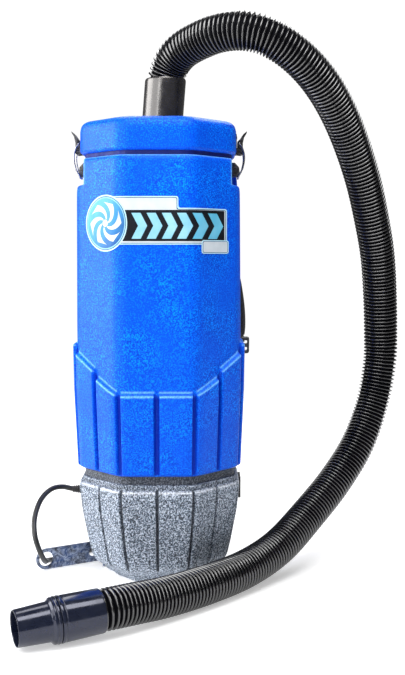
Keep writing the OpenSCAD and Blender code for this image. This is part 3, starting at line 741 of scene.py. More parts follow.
def plug():
    """A moulded plug with a ribbed neck, a waisted grip and a raised frame on each face."""
    sections = [(0, 9, 9, 1), (0.3, 11.5, 11.5, 1)]
    for k in range(6):
        x, w = 1.2 + 1.9 * k, 12.0 + 0.9 * k
        sections += [(x, w, w, 1), (x + 1.1, w, w, 1), (x + 1.3, w - 2.4, w - 2.4, 1),
                     (x + 1.7, w - 2.4, w - 2.4, 1)]
    sections += [(12.8, 17, 17, 0.9), (13.6, 24, 22, 0.7), (15.0, 29, 25, 0.6), (18, 31.5, 26.6, 0.55)]
    for k in range(5):
        for dx, w, h in ((0, 32, 27), (1.2, 32, 27), (1.5, 30.6, 25.8), (2.3, 30.6, 25.8)):
            sections.append((20 + 2.6 * k + dx, w, h, 0.52))
    sections += [(33.5, 33, 27.6, 0.5), (38.5, 34, 28, 0.48), (40.8, 33.8, 27.8, 0.48),
                 (41.7, 32.6, 26.6, 0.48), (42, 30.5, 24.6, 0.48), (41.7, 28.6, 22.8, 0.48),
                 (41.6, 6, 5, 0.6)]
    rings = [np.insert(squarish(48, w, h, power), 0, x, axis=1) + PLUG_AT for x, w, h, power in sections]
    return ring_surface("plug_body", rings, cap=True)


def plug_blades():
    """Two flat blades and the round earth pin."""
    parts = []
    for y in (-6.35, 6.35):
        outline = fillet([(0, -0.5), (15.6, -0.5), (17, 0.8), (17, 4.6), (15.6, 5.9), (0, 5.9)], 0.6, 3)
        rings = [np.column_stack([outline[:, 0] + 41, np.full(len(outline), y + t), outline[:, 1]]) + PLUG_AT
                 for t in (-0.75, 0.75)]
        parts.append(ring_surface("blade", rings, cap=True))
    pin_side = [(2.4, 0), (2.4, 15.5), (2.1, 17.6), (1.4, 18.7), (0.5, 19)]
    pin = ring_surface("pin", lathe_rings(pin_side, 32), cap=True)
    at = Vector(PLUG_AT) + Vector((41, 0, -8))
    parts.append(move(pin, Matrix.Translation(at) @ turned(90, "Y")))
    return joined("plug_pins", parts)


def gland():
    """The ribbed strain relief where the lead leaves the base."""
    profile = [(3.62, -6), (5.9, -6), (5.9, -0.2), (8.6, -0.1), (9.0, 0.3), (9.0, 2.2), (8.4, 2.9),
               (7.0, 3.0)]
    for k in range(6):
        x, r = 3.6 + 2.9 * k, 6.9 - 0.42 * k
        profile += [(r, x), (r, x + 1.5), (r - 1.3, x + 1.7), (r - 1.3, x + 2.7)]
    profile += [(4.5, 20.9), (3.62, 21)]
    place = Matrix.Translation(CORD_EXIT) @ turned(-90, "Y")
    return lathe("lead_strain_relief", profile, place, sides=64, round_by=0.25)


end_cuff_piece = piece(end_cuff(), "cuff_satin", "hose", "hose_cuff_end", sharp=60)
wand_piece = piece(wand_end(), "cuff_satin", "wand_connector", "wand_connector", sharp=60)
hose_mesh, hose_line = ribbed_hose()
piece(hose_mesh, "hose_plastic", "hose", "hose")

plug_piece = piece(plug(), "cord_jacket", "root", "power_plug", sharp=50)
pins_piece = piece(plug_blades(), "copper", "root", sharp=40)
gland_piece = piece(gland(), "cord_jacket", "root", "cord_gland", sharp=60)
lead_mesh, lead_line = lead()
piece(lead_mesh, "cord_jacket", "root", "power_cord", sharp=60)


# ---------------------------------------------------------------- the moulded shells

# The casing's outline at its nominal half width, anticlockwise from the back left corner.
CORNERS = [(-70, 92), (-104, 48), (-104, -46), (-47, -104), (47, -104), (104, -46), (104, 48), (70, 92)]
CORNER_CUT = 13
NOMINAL_A = 104


def nominal_outline():
    """Points, outward directions and distances round the outline, with its corners rounded."""
    points, normals = [], []
    corners = np.array(CORNERS, float)
    for i, p in enumerate(corners):
        u = p + unit(corners[i - 1] - p) * CORNER_CUT
        v = p + unit(corners[(i + 1) % len(corners)] - p) * CORNER_CUT
        for t in np.linspace(0, 1, 41):
            points.append(bend(u, p, v, t))
            along = unit((1 - t) * (p - u) + t * (v - p))
            normals.append((along[1], -along[0]))
    points, normals = (np.array(x + x[:1]) for x in (points, normals))
    return points, normals, run_of(points)


OUTLINE, OUTLINE_NORMAL, OUTLINE_S = nominal_outline()
GIRTH = OUTLINE_S[-1]


def outline_at(s):
    """Points and outward directions of the nominal outline at distances s round it."""
    s = np.mod(s, GIRTH)
    xy = np.column_stack([np.interp(s, OUTLINE_S, OUTLINE[:, k]) for k in range(2)])
    normal = np.column_stack([np.interp(s, OUTLINE_S, OUTLINE_NORMAL[:, k]) for k in range(2)])
    return xy, normal / np.linalg.norm(normal, axis=1)[:, None]


FINE = np.arange(0, GIRTH, 0.1)
FINE_XY = outline_at(FINE)[0]


def where(turn, across, side=1):
    """The distance round the outline to the point that lies across along the wall that faces turn degrees."""
    t = math.radians(turn)
    xy = FINE_XY * (side, 1)
    miss = np.abs(xy @ (math.cos(t), math.sin(t)) - across)
    behind = xy @ (math.sin(t), -math.cos(t)) <= 0
    return float(FINE[np.argmin(np.where(behind, 1e9, miss))])


COLUMN_STEP, LEAST_STEP = 3.2, 0.5


def columns(edges, near=(-3.4, -2.3, -1.5, -0.8, 0, 0.8, 1.5, 2.3, 3.4)):
    """Distances round the outline: evenly spaced ones, and extra ones near each edge."""
    marks = np.concatenate([np.arange(0, GIRTH, COLUMN_STEP)] + [np.array(near) + e for e in edges])
    kept = []
    for m in np.sort(np.mod(marks, GIRTH)):
        if not kept or m - kept[-1] > LEAST_STEP:
            kept.append(m)
    return np.array(kept)


def shell_ring(s, a, z, out=0.0):
    """One ring of a shell: half width a, height z and an extra distance out, as numbers or one per column."""
    xy, normal = outline_at(s)
    a, out = np.broadcast_to(a, s.shape)[:, None], np.broadcast_to(out, s.shape)[:, None]
    return np.column_stack([xy * a / NOMINAL_A + normal * out, np.broadcast_to(z, s.shape)])


def round_ring(s, x, r, z):
    """A circular ring about (x, 0) with its points in line with the outline's."""
    xy = outline_at(s)[0] - (x, 0)
    return np.column_stack([xy / np.linalg.norm(xy, axis=1)[:, None] * r + (x, 0), np.full(len(s), z)])


# Canister panels: the wall's direction, the stretch along it, the top edge's two heights, and the side.
PANELS = [(0, -44, -2.5, 254, 254, 1), (0, 2.5, 44, 254, 254, 1)]
for flip in (1, -1):
    PANELS += [(45, -37.5, -2.5, 255, 271, flip), (45, 2.5, 37.5, 281, 300, flip),
               (90, -43, -2.5, 311, 311, flip), (90, 2.5, 45, 311, 311, flip)]

NECK_X = 93
CANISTER_Z = [149, 151.5, 250, 330, 500, 538]
CANISTER_A = [101, 102.8, 104.6, 105, 103.6, 100.5]
PANEL_Z = [150, 245, 320]
PANEL_A = [105.6, 109.6, 110.8]


def canister():
    """The blue canister: raised panels round its foot, flat notched sides and a rolled mouth."""
    spans = []
    for turn, x1, x2, z1, z2, side in PANELS:
        spans.append(sorted([(where(turn, x1, side), z1), (where(turn, x2, side), z2)]))
    spans.sort()
    knots = [k for span in spans for k in span]
    edges = [k[0] for k in knots]
    notch = [where(45, v, side) for side in (1, -1) for v in (22, 25, 28)]
    notch += [where(135, v, side) for side in (1, -1) for v in (-14, -11, -8)]
    s = columns(edges + notch)
    top = np.interp(s, edges, [k[1] for k in knots])
    inside = np.max([np.minimum(s - lo[0], hi[0] - s) for lo, hi in spans], axis=0)
    mask = smooth(inside / 2.4 + 0.25)
    depth = outline_at(s)[0][:, 1]
    front = smooth((72 - depth) / 40)
    painted_light = []

    def wall(z):
        z = np.broadcast_to(np.asarray(z, float), s.shape)
        a = np.interp(z, CANISTER_Z, CANISTER_A)
        raised = np.interp(z, PANEL_Z, PANEL_A) - a
        deep = (1 - mask) * smooth((top - 1 - z) / 7) * smooth((z - 149.5) / 3)
        fade = smooth((top + 1.0 - z) / 5.6) * smooth((z - 149.8) / 2.6)
        # Painted highlights: two pale lines along each panel's top bevel. Painted shade: the grooves between
        # the panels on the front walls.
        lines = 0.75 * np.exp(-((z - top - 0.5) / 1.0) ** 2) + np.exp(-((z - top + 4.4) / 1.1) ** 2)
        painted_light.append(lines * mask * (np.abs(inside) < 60) - deep * front * (inside > -9))
        return shell_ring(s, a, z, raised * mask * fade - 1.2 * deep * (inside > -9))

    rings = [shell_ring(s, 100.2, 149.0)]
    painted_light.append(0 * s)
    rings += [wall(z) for z in (149.6, 150.6, 152, 153.4, 155)]
    rings += [wall(157 + (top - 8 - 157) * k / 14) for k in range(14)]
    rings += [wall(top + d) for d in (-8, -6.4, -5.2, -4.3, -3.4, -2.5, -1.6, -0.7, 0.2, 1.2, 2.4)]
    rings += [wall(top + 4 + (502 - top - 4) * k / 16) for k in range(16)]

    def flattened(ring, share, limit=NECK_X):
        """Draws the sides in to the flats under the lid, share of the way."""
        over = np.abs(ring[:, 0]) - limit
        # A painted highlight along the front edge of the flat, and painted shade on the notch's back wall.
        rim = np.exp(-((over - 0.5) / 1.6) ** 2) * (depth < 0)
        painted_light[-1] = share * (rim - (over > 0.5) * np.exp(-((depth - 28.5) / 2.6) ** 2))
        over = (over + np.sqrt(over * over + 1.6)) / 2
        ring[:, 0] -= np.sign(ring[:, 0]) * over * share * (1 - smooth((depth - 27) / 3.5))
        return ring

    step_in = [(0, 502), (0.01, 504.5), (0.03, 506.4), (0.09, 507.9), (0.2, 508.8), (0.4, 509.2),
               (0.65, 509.5), (0.85, 509.9), (0.95, 510.8), (1, 512.4), (1, 516), (1, 523), (1, 530),
               (1, 534)]
    for share, z in step_in:
        rings.append(flattened(wall(z), share))
    mouth = [(100.5, 537.4, 93), (100.0, 539.2, 93), (99.1, 540.8, 92.9), (97.8, 542.0, 92.6),
             (96.2, 542.8, 92.1), (94.4, 543, 91.4)]
    for a, z, limit in mouth:
        painted_light.append(0 * s)
        rings.append(flattened(shell_ring(s, a, z), 1, limit))
        # A painted highlight along the mouth's top edge on the front walls.
        painted_light[-1] += 0.6 * front * (z > 541.5)
    inner = [(90.9, 542.8), (90.5, 542), (90.5, 533.6), (90.2, 533.1), (88.4, 533), (88, 532.4),
             (88, 501), (89, 499), (99, 489), (100.5, 330), (99.5, 174), (99.2, 172), (97.6, 171.1)]
    rings += [shell_ring(s, a, z) for a, z in inner]
    floor_hole = [(84, 171), (71, 171), (70.2, 170.4), (70.2, 166.6), (70.8, 166)]
    rings += [round_ring(s, 0, r, z) for r, z in floor_hole]
    under = [(90, 166), (97.8, 165.9), (98.5, 165), (98.5, 150.2), (99.0, 149.2)]
    rings += [shell_ring(s, a, z) for a, z in under]
    made = ring_surface("canister_shell", rings, loop=True)
    painted_light += [0 * s] * (len(rings) - len(painted_light))
    return keep(made, "painted_light", np.concatenate(painted_light))


def lid_shell():
    """The lid: a rolled lower edge, a broad soft shoulder and a round port near its middle."""
    s = columns([])
    outer = fillet([(86.2, 548.5), (96.2, 548.4), (98.8, 551.2), (98.8, 577), (96.8, 584.2),
                    (91.8, 588.4), (84, 590)], 3.2, 5, closed=False)
    port = [(66, 590.2), (50, 590.3), (33, 590.3), (31.5, 590.1), (31, 589.5), (31, 586.1), (31.5, 585.5),
            (50, 585.5)]
    inner = [(82, 585.5), (88, 584), (93.2, 577.6), (93.5, 576), (93.5, 561), (93.1, 560), (82.2, 554),
             (81.8, 553), (81.8, 537), (82.2, 536.2), (85.3, 536.2), (85.8, 536.8), (85.8, 548.2)]
    rings = [shell_ring(s, a, z) for a, z in outer]
    rings += [round_ring(s, PORT_X, r, z) for r, z in port]
    rings += [shell_ring(s, a, z) for a, z in inner]
    return ring_surface("lid_shell", rings, loop=True)


BASE_Z = [22, 32, 52, 92, 122, 129]
BASE_A = [84, 89, 93.5, 101, 104, 103.5]
BASE_GROOVES = [-90, -65.7, -45, -23.9, 0, -114.3, -135, -156.1, 180]
GROOVE_DEPTH = 4.0
SWITCH_AT = (97.5, 22, 110)


def box_object(name, low, high):
    points = [(x, y, z) for x in (low[0], high[0]) for y in (low[1], high[1]) for z in (low[2], high[2])]
    faces = [(0, 1, 3, 2), (4, 6, 7, 5), (0, 4, 5, 1), (2, 3, 7, 6), (0, 2, 6, 4), (1, 5, 7, 3)]
    return mesh_object(name, points, faces)


def cut(made, cutters):
    """Cuts closed shapes out of a mesh."""
    for cutter in cutters:
        modify(made, "BOOLEAN", operation="DIFFERENCE", solver="EXACT", object=cutter)
    settle(made)
    for cutter in cutters:
        bpy.data.objects.remove(cutter)
    return made


def base_shell():
    """The speckled base: grooved walls that draw in to a foot, a neck for the canister, and its openings."""
    middles = [where(angle + 90, 0) for angle in BASE_GROOVES]
    s = columns([m + d for m in middles for d in (-1.8, 1.8)], near=(-1.4, -0.7, 0, 0.7, 1.4))
    away = np.min([np.abs(s - m) for m in middles], axis=0)
    groove = 1 - smooth((away - 0.7) / 2.0)
    painted_light = []

    def wall(z, a=None):
        a = np.interp(z, BASE_Z, BASE_A) if a is None else a
        deep = groove * smooth((z - 21.2) / 3.0)
        # A painted highlight along the base's top edge between the grooves, and painted shade in the grooves.
        painted_light.append(0.8 * np.exp(-((z - 128.9) / 1.3) ** 2) * (1 - groove) - 0.95 * deep)
        return shell_ring(s, a, z, -GROOVE_DEPTH * deep)

    # The foot is upright at the back and drawn in under the front.
    foot = [fillet(p, 1.6, 4, closed=False) for p in (
        [(50, 1), (52, 0), (73.4, 0), (75.4, 2.4), (76.4, 18.6), (82, 21.2), (85, 24.5)],
        [(42, 1), (44, 0), (57, 0), (60, 2.4), (69, 13), (80, 20.4), (85, 24.5)])]
    under = smooth((10 - outline_at(s)[0][:, 1]) / 50)
    rings = [shell_ring(s, 4, 1), shell_ring(s, 40, 1)]
    painted_light += [0 * s] * 2
    rings += [wall(z1 + (z2 - z1) * under, a1 + (a2 - a1) * under) for (a1, z1), (a2, z2) in zip(*foot)]
    rings += [wall(z) for z in (27, 30, 33, 37, 42, 47, 52, 60, 70, 80, 88, 94, 102, 110, 117, 122, 125, 127)]
    shoulder = [(103.5, 127.6), (103.3, 128.8), (102.6, 130.0), (101.6, 130.8), (100.4, 131.3)]
    rings += [wall(z, a) for a, z in shoulder]
    neck = fillet([(99.6, 131.5), (99.2, 132.6), (98.9, 137.4), (96.6, 138.4), (96.4, 162.5),
                   (92.5, 162.5), (92.5, 127.4), (97.6, 122), (96.2, 92), (89, 52), (78, 27), (60, 18),
                   (50, 5)], 0.9, 3, closed=False)
    rings += [shell_ring(s, a, z) for a, z in neck]
    for a, z in neck:
        # Painted shade on the neck under the canister's overhang, and a painted highlight on its step.
        dark = 0.42 * smooth((z - 131) / 1.5) + 0.45 * smooth((z - 137.4) / 1)
        rim = 0.5 * math.exp(-((z - 137.0) / 0.9) ** 2)
        painted_light.append(np.full(len(s), rim - dark if a > 95 and z > 130 else 0.0))
    rings += [shell_ring(s, 40, 5), shell_ring(s, 4, 5)]
    painted_light += [0 * s] * 2
    shell = keep(ring_surface("base_shell", rings, cap=True), "painted_light", np.concatenate(painted_light))
    slots = [box_object("slot", (13 * k - 3, 70, 42), (13 * k + 3, 100, 88)) for k in range(-3, 4)]

    def switch_cut(near, far, half_y, half_z):
        return box_object("way", (x + near, y - half_y, z - half_z), (x + far, y + half_y, z + half_z))

    x, y, z = SWITCH_AT
    gland_way = ring_surface("way", lathe_rings([(6, 0), (6, 40)], 32), cap=True)
    move(gland_way, Matrix.Translation((-80, CORD_EXIT[1], CORD_EXIT[2])) @ turned(-90, "Y"))
    first = joined("first_cut", slots + [switch_cut(-14, 3, 13.2, 12.2), gland_way])
    through, pocket = switch_cut(-3, 12, 13.2, 12.2), switch_cut(4, 18, 16.2, 14.2)
    return cut(shell, [first, through, pocket])


piece(canister(), "blue_shell", "root", "main_body")
piece(lid_shell(), "blue_shell", "lid", "lid")
piece(base_shell(), "speckled_grey", "root", "motor_base", sharp=50)


# ---------------------------------------------------------------- inlet, cuffs and latches

LID_PORT = Matrix.Translation((PORT_X, 0, 0))
CUFF_LEAN, LEAN_FROM = 0.08, 594  # the cuff bends towards the hose above the collar


def inlet_collar():
    """The collar through the lid: a soft flange outside and a socket that the cuff turns in."""
    return lathe("inlet_collar_ring", [
        (22, 524), (28.5, 524), (28.5, 556), (30.7, 556.2), (30.7, 590.1), (37.4, 590.3), (37.2, 592),
        (35.6, 593.6), (30.2, 593.9), (28.4, 592.6), (26.65, 592.2), (26.65, 561.5),
        (22, 561.3)], LID_PORT, round_by=0.9)


def top_cuff():
    """The glossy cuff that the hose is screwed into."""
    made = lathe("hose_top_cuff", [
        (20, 562.4), (25.8, 562.2), (26.5, 563), (26.5, 594), (26.5, 606), (26.5, 618), (26.5, 630),
        (26.5, 644.6), (26.3, 646.4), (25.6, 647.7), (24.6, 648), (24.0, 647.2), (24, 630), (24, 612.4),
        (20, 611.8)], LID_PORT, sides=128, round_by=0.9)
    for v in made.data.vertices:
        v.co.x += CUFF_LEAN * max(v.co.z - LEAN_FROM * MM, 0)
    return made


WIRE_R = 1.1
SIDES = (("left", -1), ("right", 1))


def bail_wire(side):
    """A latch wire: both ends turn in under the lever, and its foot hooks on the catch."""
    half, pivot, foot = 12.6, np.array((103.5, 0, 565)), np.array((102.5, 0, 521.4))
    leg = curve([(107, half, 560), (109.6, half, 551), (109.6, half, 542), (107.4, half, 532)], 6)
    arm = np.vstack([[pivot + (0, 6.2, 0), pivot + (0, half - 1.4, 0), pivot + (0.7, half - 0.2, -0.8)], leg,
                     [foot + (0.5, half, 2.2), foot + (0, half - 0.6, 0.4), foot + (0, half - 2, 0)]])
    line = fillet(np.vstack([arm, arm[::-1] * (1, -1, 1)]), 2.0, 4, closed=False) * (side, 1, 1)
    line = line[np.insert(steps_of(line) > 0.05, 0, True)]
    return tube_rings(line, np.full(len(line), WIRE_R), 16, first=(0, 0.01, 1))


piece(inlet_collar(), "black_moulding", "lid", "inlet_collar", sharp=60)
piece(top_cuff(), "cuff_gloss", "hose", "hose_cuff_top", sharp=60)
for side_name, side_sign in SIDES:
    wire = ring_surface("latch_wire_" + side_name, bail_wire(side_sign), cap=True)
    piece(wire, "wire", "latch_bail_" + side_name, "latch_bail_" + side_name, sharp=60)


# ---------------------------------------------------------------- the badge

front = (OUTLINE_NORMAL[:, 1] < -0.25) & (OUTLINE[:, 1] < 0)
FRONT_X, FRONT_Y = OUTLINE[front, 0], OUTLINE[front, 1]
FRONT_NORMAL = OUTLINE_NORMAL[front]
CIRCLE_X, CIRCLE_R, CIRCLE_SQUEEZE = -61.5, 34.5, 0.78


def on_front(x, z, lift):
    """The point on the canister's front walls at x and z, raised by lift."""
    a = np.interp(z, CANISTER_Z, CANISTER_A)
    at = x * NOMINAL_A / a
    normal = np.array([np.interp(at, FRONT_X, FRONT_NORMAL[:, k]) for k in range(2)])
    y = np.interp(at, FRONT_X, FRONT_Y) * a / NOMINAL_A
    return np.array([x + normal[0] * lift, y + normal[1] * lift, z])


FILM_THICK = 0.22
BEND_EVERY = 2.0  # how far apart the cuts are that let a film follow the canister


def film_patch(name, outlines, lift, tone):
    """Film cut to flat outlines of (x, z) and laid round the canister's front, lift above it."""
    work = bmesh.new()
    for outline in outlines:
        face = work.faces.new([work.verts.new((x, 0, z)) for x, z in outline])
        face.normal_update()
        bmesh.ops.triangulate(work, faces=[face])
    xs = [v.co.x for v in work.verts]
    for x in np.arange(math.floor(min(xs)) + 0.5, max(xs), BEND_EVERY):
        bmesh.ops.bisect_plane(work, geom=work.verts[:] + work.edges[:] + work.faces[:],
                               plane_co=(x, 0, 0), plane_no=(1, 0, 0))
    bottom = {}
    faces = list(work.faces)
    edge_pairs = [tuple(e.verts) for e in work.edges if e.is_boundary]
    for v in list(work.verts):
        bottom[v] = work.verts.new((v.co.x, 1, v.co.z))
    for face in faces:
        work.faces.new([bottom[v] for v in reversed(face.verts)])
    for a, b in edge_pairs:
        work.faces.new([a, b, bottom[b], bottom[a]])
    for v in work.verts:
        v.co = on_front(v.co.x, v.co.z, lift + FILM_THICK * (0.5 if v.co.y < 0.5 else -0.5))
    work.verts.index_update()
    points = [tuple(v.co) for v in work.verts]
    made = mesh_object("badge_" + name, points, [tuple(v.index for v in f.verts) for f in work.faces])
    work.free()
    stands_for = ["badge"] if name == "plate" else []
    piece(made, "badge_film", "root", *stands_for, sharp=40, surface="badge_" + tone)


def on_medallion(r, angle):
    return CIRCLE_X + r * CIRCLE_SQUEEZE * np.cos(angle), BADGE_Z + r * np.sin(angle)


def disc(r, count=72):
    return np.column_stack(on_medallion(r, np.linspace(0, FULL_TURN, count, endpoint=False)))


def tab_outline(inset):
    """The small tab that overlaps the plate's lower edge, drawn in by inset on every side."""
    x1, z1, x2, z2 = 54.5 + inset, 423.5 + inset, 88 - inset, 440 - inset
    return fillet([(x1, z1), (x2, z1), (x2, z2), (x1, z2)], 3.0 - 0.7 * inset, 4)


def plate_outline(inset):
    """The stepped plate, drawn in by inset on every side."""
    i = inset
    return fillet([(-60 + i, 434.5 + i), (86 - i, 434.5 + i), (86 - i, 478.5 - i), (27 - i, 478.5 - i),
                   (27 - i, 492.5 - i), (-60 + i, 492.5 - i)], 3.0 - 0.5 * i, 4)


def fan_blade(angle):
    """One curved blade of the emblem in the medallion."""
    steps = np.linspace(0, 1, 9)
    lead = [(5.5 + 20.5 * t, angle + 1.05 * t) for t in steps]
    trail = [(5.5 + 20.5 * t, angle + 0.34 + 0.10 * t + 1.22 * t) for t in steps[::-1]]
    return [on_medallion(r, a) for r, a in lead + trail]


def arrow(number):
    """One of the arrow heads on the plate's dark field."""
    x, width, lean, low, high = -29.5 + 18.3 * number, 11.0, 8.0, 441.5, 472.5
    middle = (low + high) / 2
    return [(x, low), (x + width, low), (x + width + lean, middle), (x + width, high), (x, high),
            (x + lean, middle)]


def badge():
    """A round medallion with a fan emblem at the end of a stepped plate that carries a row of arrows."""
    field = fillet([(-50, 438.6), (82.5, 438.6), (82.5, 476), (-50, 476)], 1.2, 3)
    layers = [("plate", [plate_outline(0)], 0.45, "film"), ("plate_line", [plate_outline(1.3)], 0.58, "navy"),
              ("plate_edge", [plate_outline(2.1)], 0.66, "white"), ("plate_field", [field], 0.76, "black")]
    layers += [(f"arrow_{k}", [arrow(k)], 0.88, "pale" if k < 4 else "cyan") for k in range(6)]
    layers += [("tab", [tab_outline(0)], 0.80, "film"), ("tab_line", [tab_outline(1.2)], 0.92, "navy"),
               ("tab_face", [tab_outline(1.8)], 1.02, "white"),
               ("medallion_rim", [disc(CIRCLE_R)], 0.95, "film"),
               ("medallion_line", [disc(CIRCLE_R - 1.8)], 1.05, "navy"),
               ("medallion_ring", [disc(CIRCLE_R - 2.8)], 1.14, "pale"),
               ("medallion_ground", [disc(CIRCLE_R - 4.2)], 1.22, "ground"),
               ("emblem", [fan_blade(FULL_TURN * k / 6) for k in range(6)], 1.32, "white"),
               ("emblem_hub", [disc(4.4, 36)], 1.36, "white")]
    for layer in layers:
        film_patch(*layer)


badge()


# ---------------------------------------------------------------- the bags inside

BAG_RINGS = 60
BAG_TAUT = 30  # how far from its ends a bag's folds fade out


def bag(name, body, slot, profile, mouth, depth, fold, wall, sharp=180):
    """A bag of soft sheet. fold says how far its wall is drawn in, 0 to 1, at each point of its surface."""
    low, high = profile[0][0], profile[-1][0]
    heights, widths = np.array(profile, float).T
    s = np.arange(0, GIRTH, 4.0)
    sheet = []
    for z in np.linspace(low, high, BAG_RINGS):
        slack = min(1.0, (z - low) / BAG_TAUT, (high - z) / BAG_TAUT)
        sheet.append((np.interp(z, heights, widths), z, -depth * slack * fold(s, z)))
    rings = [shell_ring(s, a, z, out) for a, z, out in sheet]
    if mouth:
        rings += [round_ring(s, PORT_X, mouth, high), round_ring(s, PORT_X, mouth, high - wall)]
    for a, z, out in sheet[::-1]:
        under_top = wall if mouth and z > high - 8 else 0
        rings.append(shell_ring(s, a - wall, max(z, low + wall) - under_top, out))
    made = ring_surface(name + "_sheet", rings, cap=True)
    piece(made, slot, body, name, sharp=sharp)


def crumple(s, z):
    """Sharp creases that cross each other, as in a paper bag that has been folded flat."""
    turn = FULL_TURN * s / GIRTH
    waves = [np.abs(np.sin(k * turn + lean * z + start)) for k, lean, start in
             ((4, 0.013, 0.4), (5, -0.021, 1.9), (7, 0.034, 4.1), (9, -0.008, 2.7), (3, 0.046, 0.9))]
    return 1 - sum(waves) / len(waves)


def drape(s, z):
    """Soft upright folds that wander a little."""
    turn = FULL_TURN * s / GIRTH
    wide = np.sin(11 * turn + 0.8 * math.sin(0.02 * z))
    narrow = np.sin(7 * turn + 0.012 * z + 1.3)
    return 0.5 + 0.32 * wide + 0.18 * narrow


PAPER_BAG = [(240, 48), (246, 66), (270, 74), (400, 76), (505, 74), (525, 66), (531, 50)]
CLOTH_BAG = [(238, 60), (242, 80), (300, 84), (533, 84)]
bag("paper_bag", "lid", "bag_paper", PAPER_BAG, mouth=28.8, depth=9.0, fold=crumple, wall=0.9, sharp=50)
bag("cloth_bag", "root", "filter_cloth", CLOTH_BAG, mouth=None, depth=5.0, fold=drape, wall=0.8)


# ---------------------------------------------------------------- the harness

PLATE_BACK = 98  # the harness plate's outer face
STRAP_PATH = [
    (44, 105, 468), (44, 105, 492), (45, 111, 512), (48, 128, 523), (52, 150, 517), (58, 172, 494),
    (66, 188, 458), (75, 195, 418), (84, 194, 382), (91, 185, 347), (94, 174.5, 320), (94, 168.5, 303.5),
]
STRAP_WIDTHS = [(0, 34), (0.2, 46), (0.4, 58), (0.75, 58), (1, 48)]
LOOP_PATH = [(101, 172, 322), (103, 170, 306), (106, 166.4, 300), (108, 165.2, 297.5), (108, 161, 292.8),
             (106, 158.6, 297), (103, 162, 306), (101, 165, 320)]
WEBBING_PATH = [(94, 158, 277), (93, 146, 270), (86, 124, 267), (76, 106, 266), (68, 99.6, 266)]
# The webbing's way through the lock.
WEBBING_HEAD = [(109, 167, 281), (109, 163.6, 289.6), (108, 160, 289), (104, 157.6, 283)]
BELT_Z = 207
BELT_PATH = [(77, 106), (90, 112), (101, 124), (107, 144), (107, 172), (100, 196), (84, 215)]
BELT_WIDTHS = [(0, 84), (0.35, 84), (1, 46)]
BELT_WEB_PATH = [(103, 128), (112.6, 146), (113.4, 172), (106, 199.5), (92, 215.5), (74, 224), (58, 232),
                 (40.2, 236.5)]
BELT_WEB_END = (34, 238.2)
BELT_TAIL_PATH = [(100, 202.5), (86, 222), (70, 232), (55, 237.5)]
LOCK_AT, LOCK_TILT = (111, 161.5, 288), 20
BOUND_EDGE = 1.4  # half the thickness of a pad's flat edge
BORDER = 4.5  # how wide that edge is
UPRIGHT, SIDEWAYS = (0, 0, 1), (1, 0, 0)


def strip_frames(line, across):
    """A strip's direction across and its outward direction, at each point of its line."""
    tangent = np.gradient(line, axis=0)
    tangent /= np.linalg.norm(tangent, axis=1)[:, None]
    side = np.array([unit(np.array(across, float) - (np.array(across, float) @ t) * t) for t in tangent])
    return side, np.cross(tangent, side)


def strip(name, line, across, section, mirror):
    """A closed strip along a line. section gives, for a share of the way along, its (across, up) outline."""
    side, out = strip_frames(line, across)
    run = run_of(line)
    rings, places = [], []
    for k, share in enumerate(np.linspace(0, 1, len(line))):
        outline = section(share)
        rings.append((line[k] + outline[:, :1] * side[k] + outline[:, 1:] * out[k]) * (mirror, 1, 1))
        places.append(np.column_stack([outline[:, 0], np.full(len(outline), run[k]), np.zeros(len(outline))]))
    made = ring_surface(name, rings, cap=True)
    return keep(made, "strip_place", np.concatenate(places) * MM, "FLOAT_VECTOR")


def width_at(widths, share):
    return float(np.interp(share, *zip(*widths)))


def padded_section(width, thick, share, length, channels):
    """A padded strap's section: a crowned pad between flat edges, nipped in at sewn channels and its ends."""
    half = width / 2
    nip = sum(math.exp(-((share - c) * length / 3.2) ** 2) for c in channels)
    ends = smooth(min(share, 1 - share) * length / 11)
    crown = (thick / 2 - BOUND_EDGE) * (1 - 0.55 * min(nip, 1)) * (0.25 + 0.75 * float(ends))
    x = np.linspace(-1, 1, 15) * half
    body = np.clip(1 - np.abs(x / (half - BORDER)) ** 3.2, 0, 1) ** 0.6
    top = np.column_stack([x, BOUND_EDGE + crown * body])
    under = np.column_stack([x, -BOUND_EDGE - crown * 0.86 * body])
    return np.vstack([top, under[::-1]])


def flat_section(width, thick):
    half, t = width / 2, thick / 2
    x = np.linspace(-half + t * 0.6, half - t * 0.6, 7)
    return np.vstack([np.column_stack([x, np.full(7, t)]), [[half, t * 0.4], [half, -t * 0.4]],
                      np.column_stack([x[::-1], np.full(7, -t)]), [[-half, -t * 0.4], [-half, t * 0.4]]])


def offset_line(line, across, by, shift=0.0):
    """A line moved outward from a strip by a distance, and sideways by shift."""
    side, out = strip_frames(line, across)
    by = np.broadcast_to(by, len(line))[:, None]
    shift = np.broadcast_to(shift, len(line))[:, None]
    return line + out * by + side * shift


STITCH, STITCH_GAP, THREAD_R = 3.2, 1.6, 0.5


def stitch(a, b, outward):
    """Rings of one stitch, which rises from a and dips in again at b."""
    outward = np.array(outward)
    flat = unit(np.cross(unit(b - a), outward))
    c, w = circle(6)
    rings = []
    for t, r in ((0, 0.12), (0.15, 0.8), (0.5, 1.0), (0.85, 0.8), (1, 0.12)):
        centre = a + (b - a) * t + outward * THREAD_R * (0.5 - 2.2 * (t - 0.5) ** 2)
        rings.append(centre + (c * flat + w * outward) * r * THREAD_R)
    return rings


def stitching(name, rows, mirror=1):
    """Raised thread along rows, each a line of points with its outward direction."""
    points, faces = [], []
    for line, outward in rows:
        count = int(length_of(line) / (STITCH + STITCH_GAP))
        at = even(line, count * 3 + 1)
        for k in range(count):
            rings = stitch(at[3 * k], at[3 * k + 2], outward)
            faces += ring_faces(rings, cap=True, first=len(points))
            points += [p * (mirror, 1, 1) for ring in rings for p in ring]
    piece(mesh_object(name, points, faces), "strap_fabric", "root", surface="thread", sharp=60)


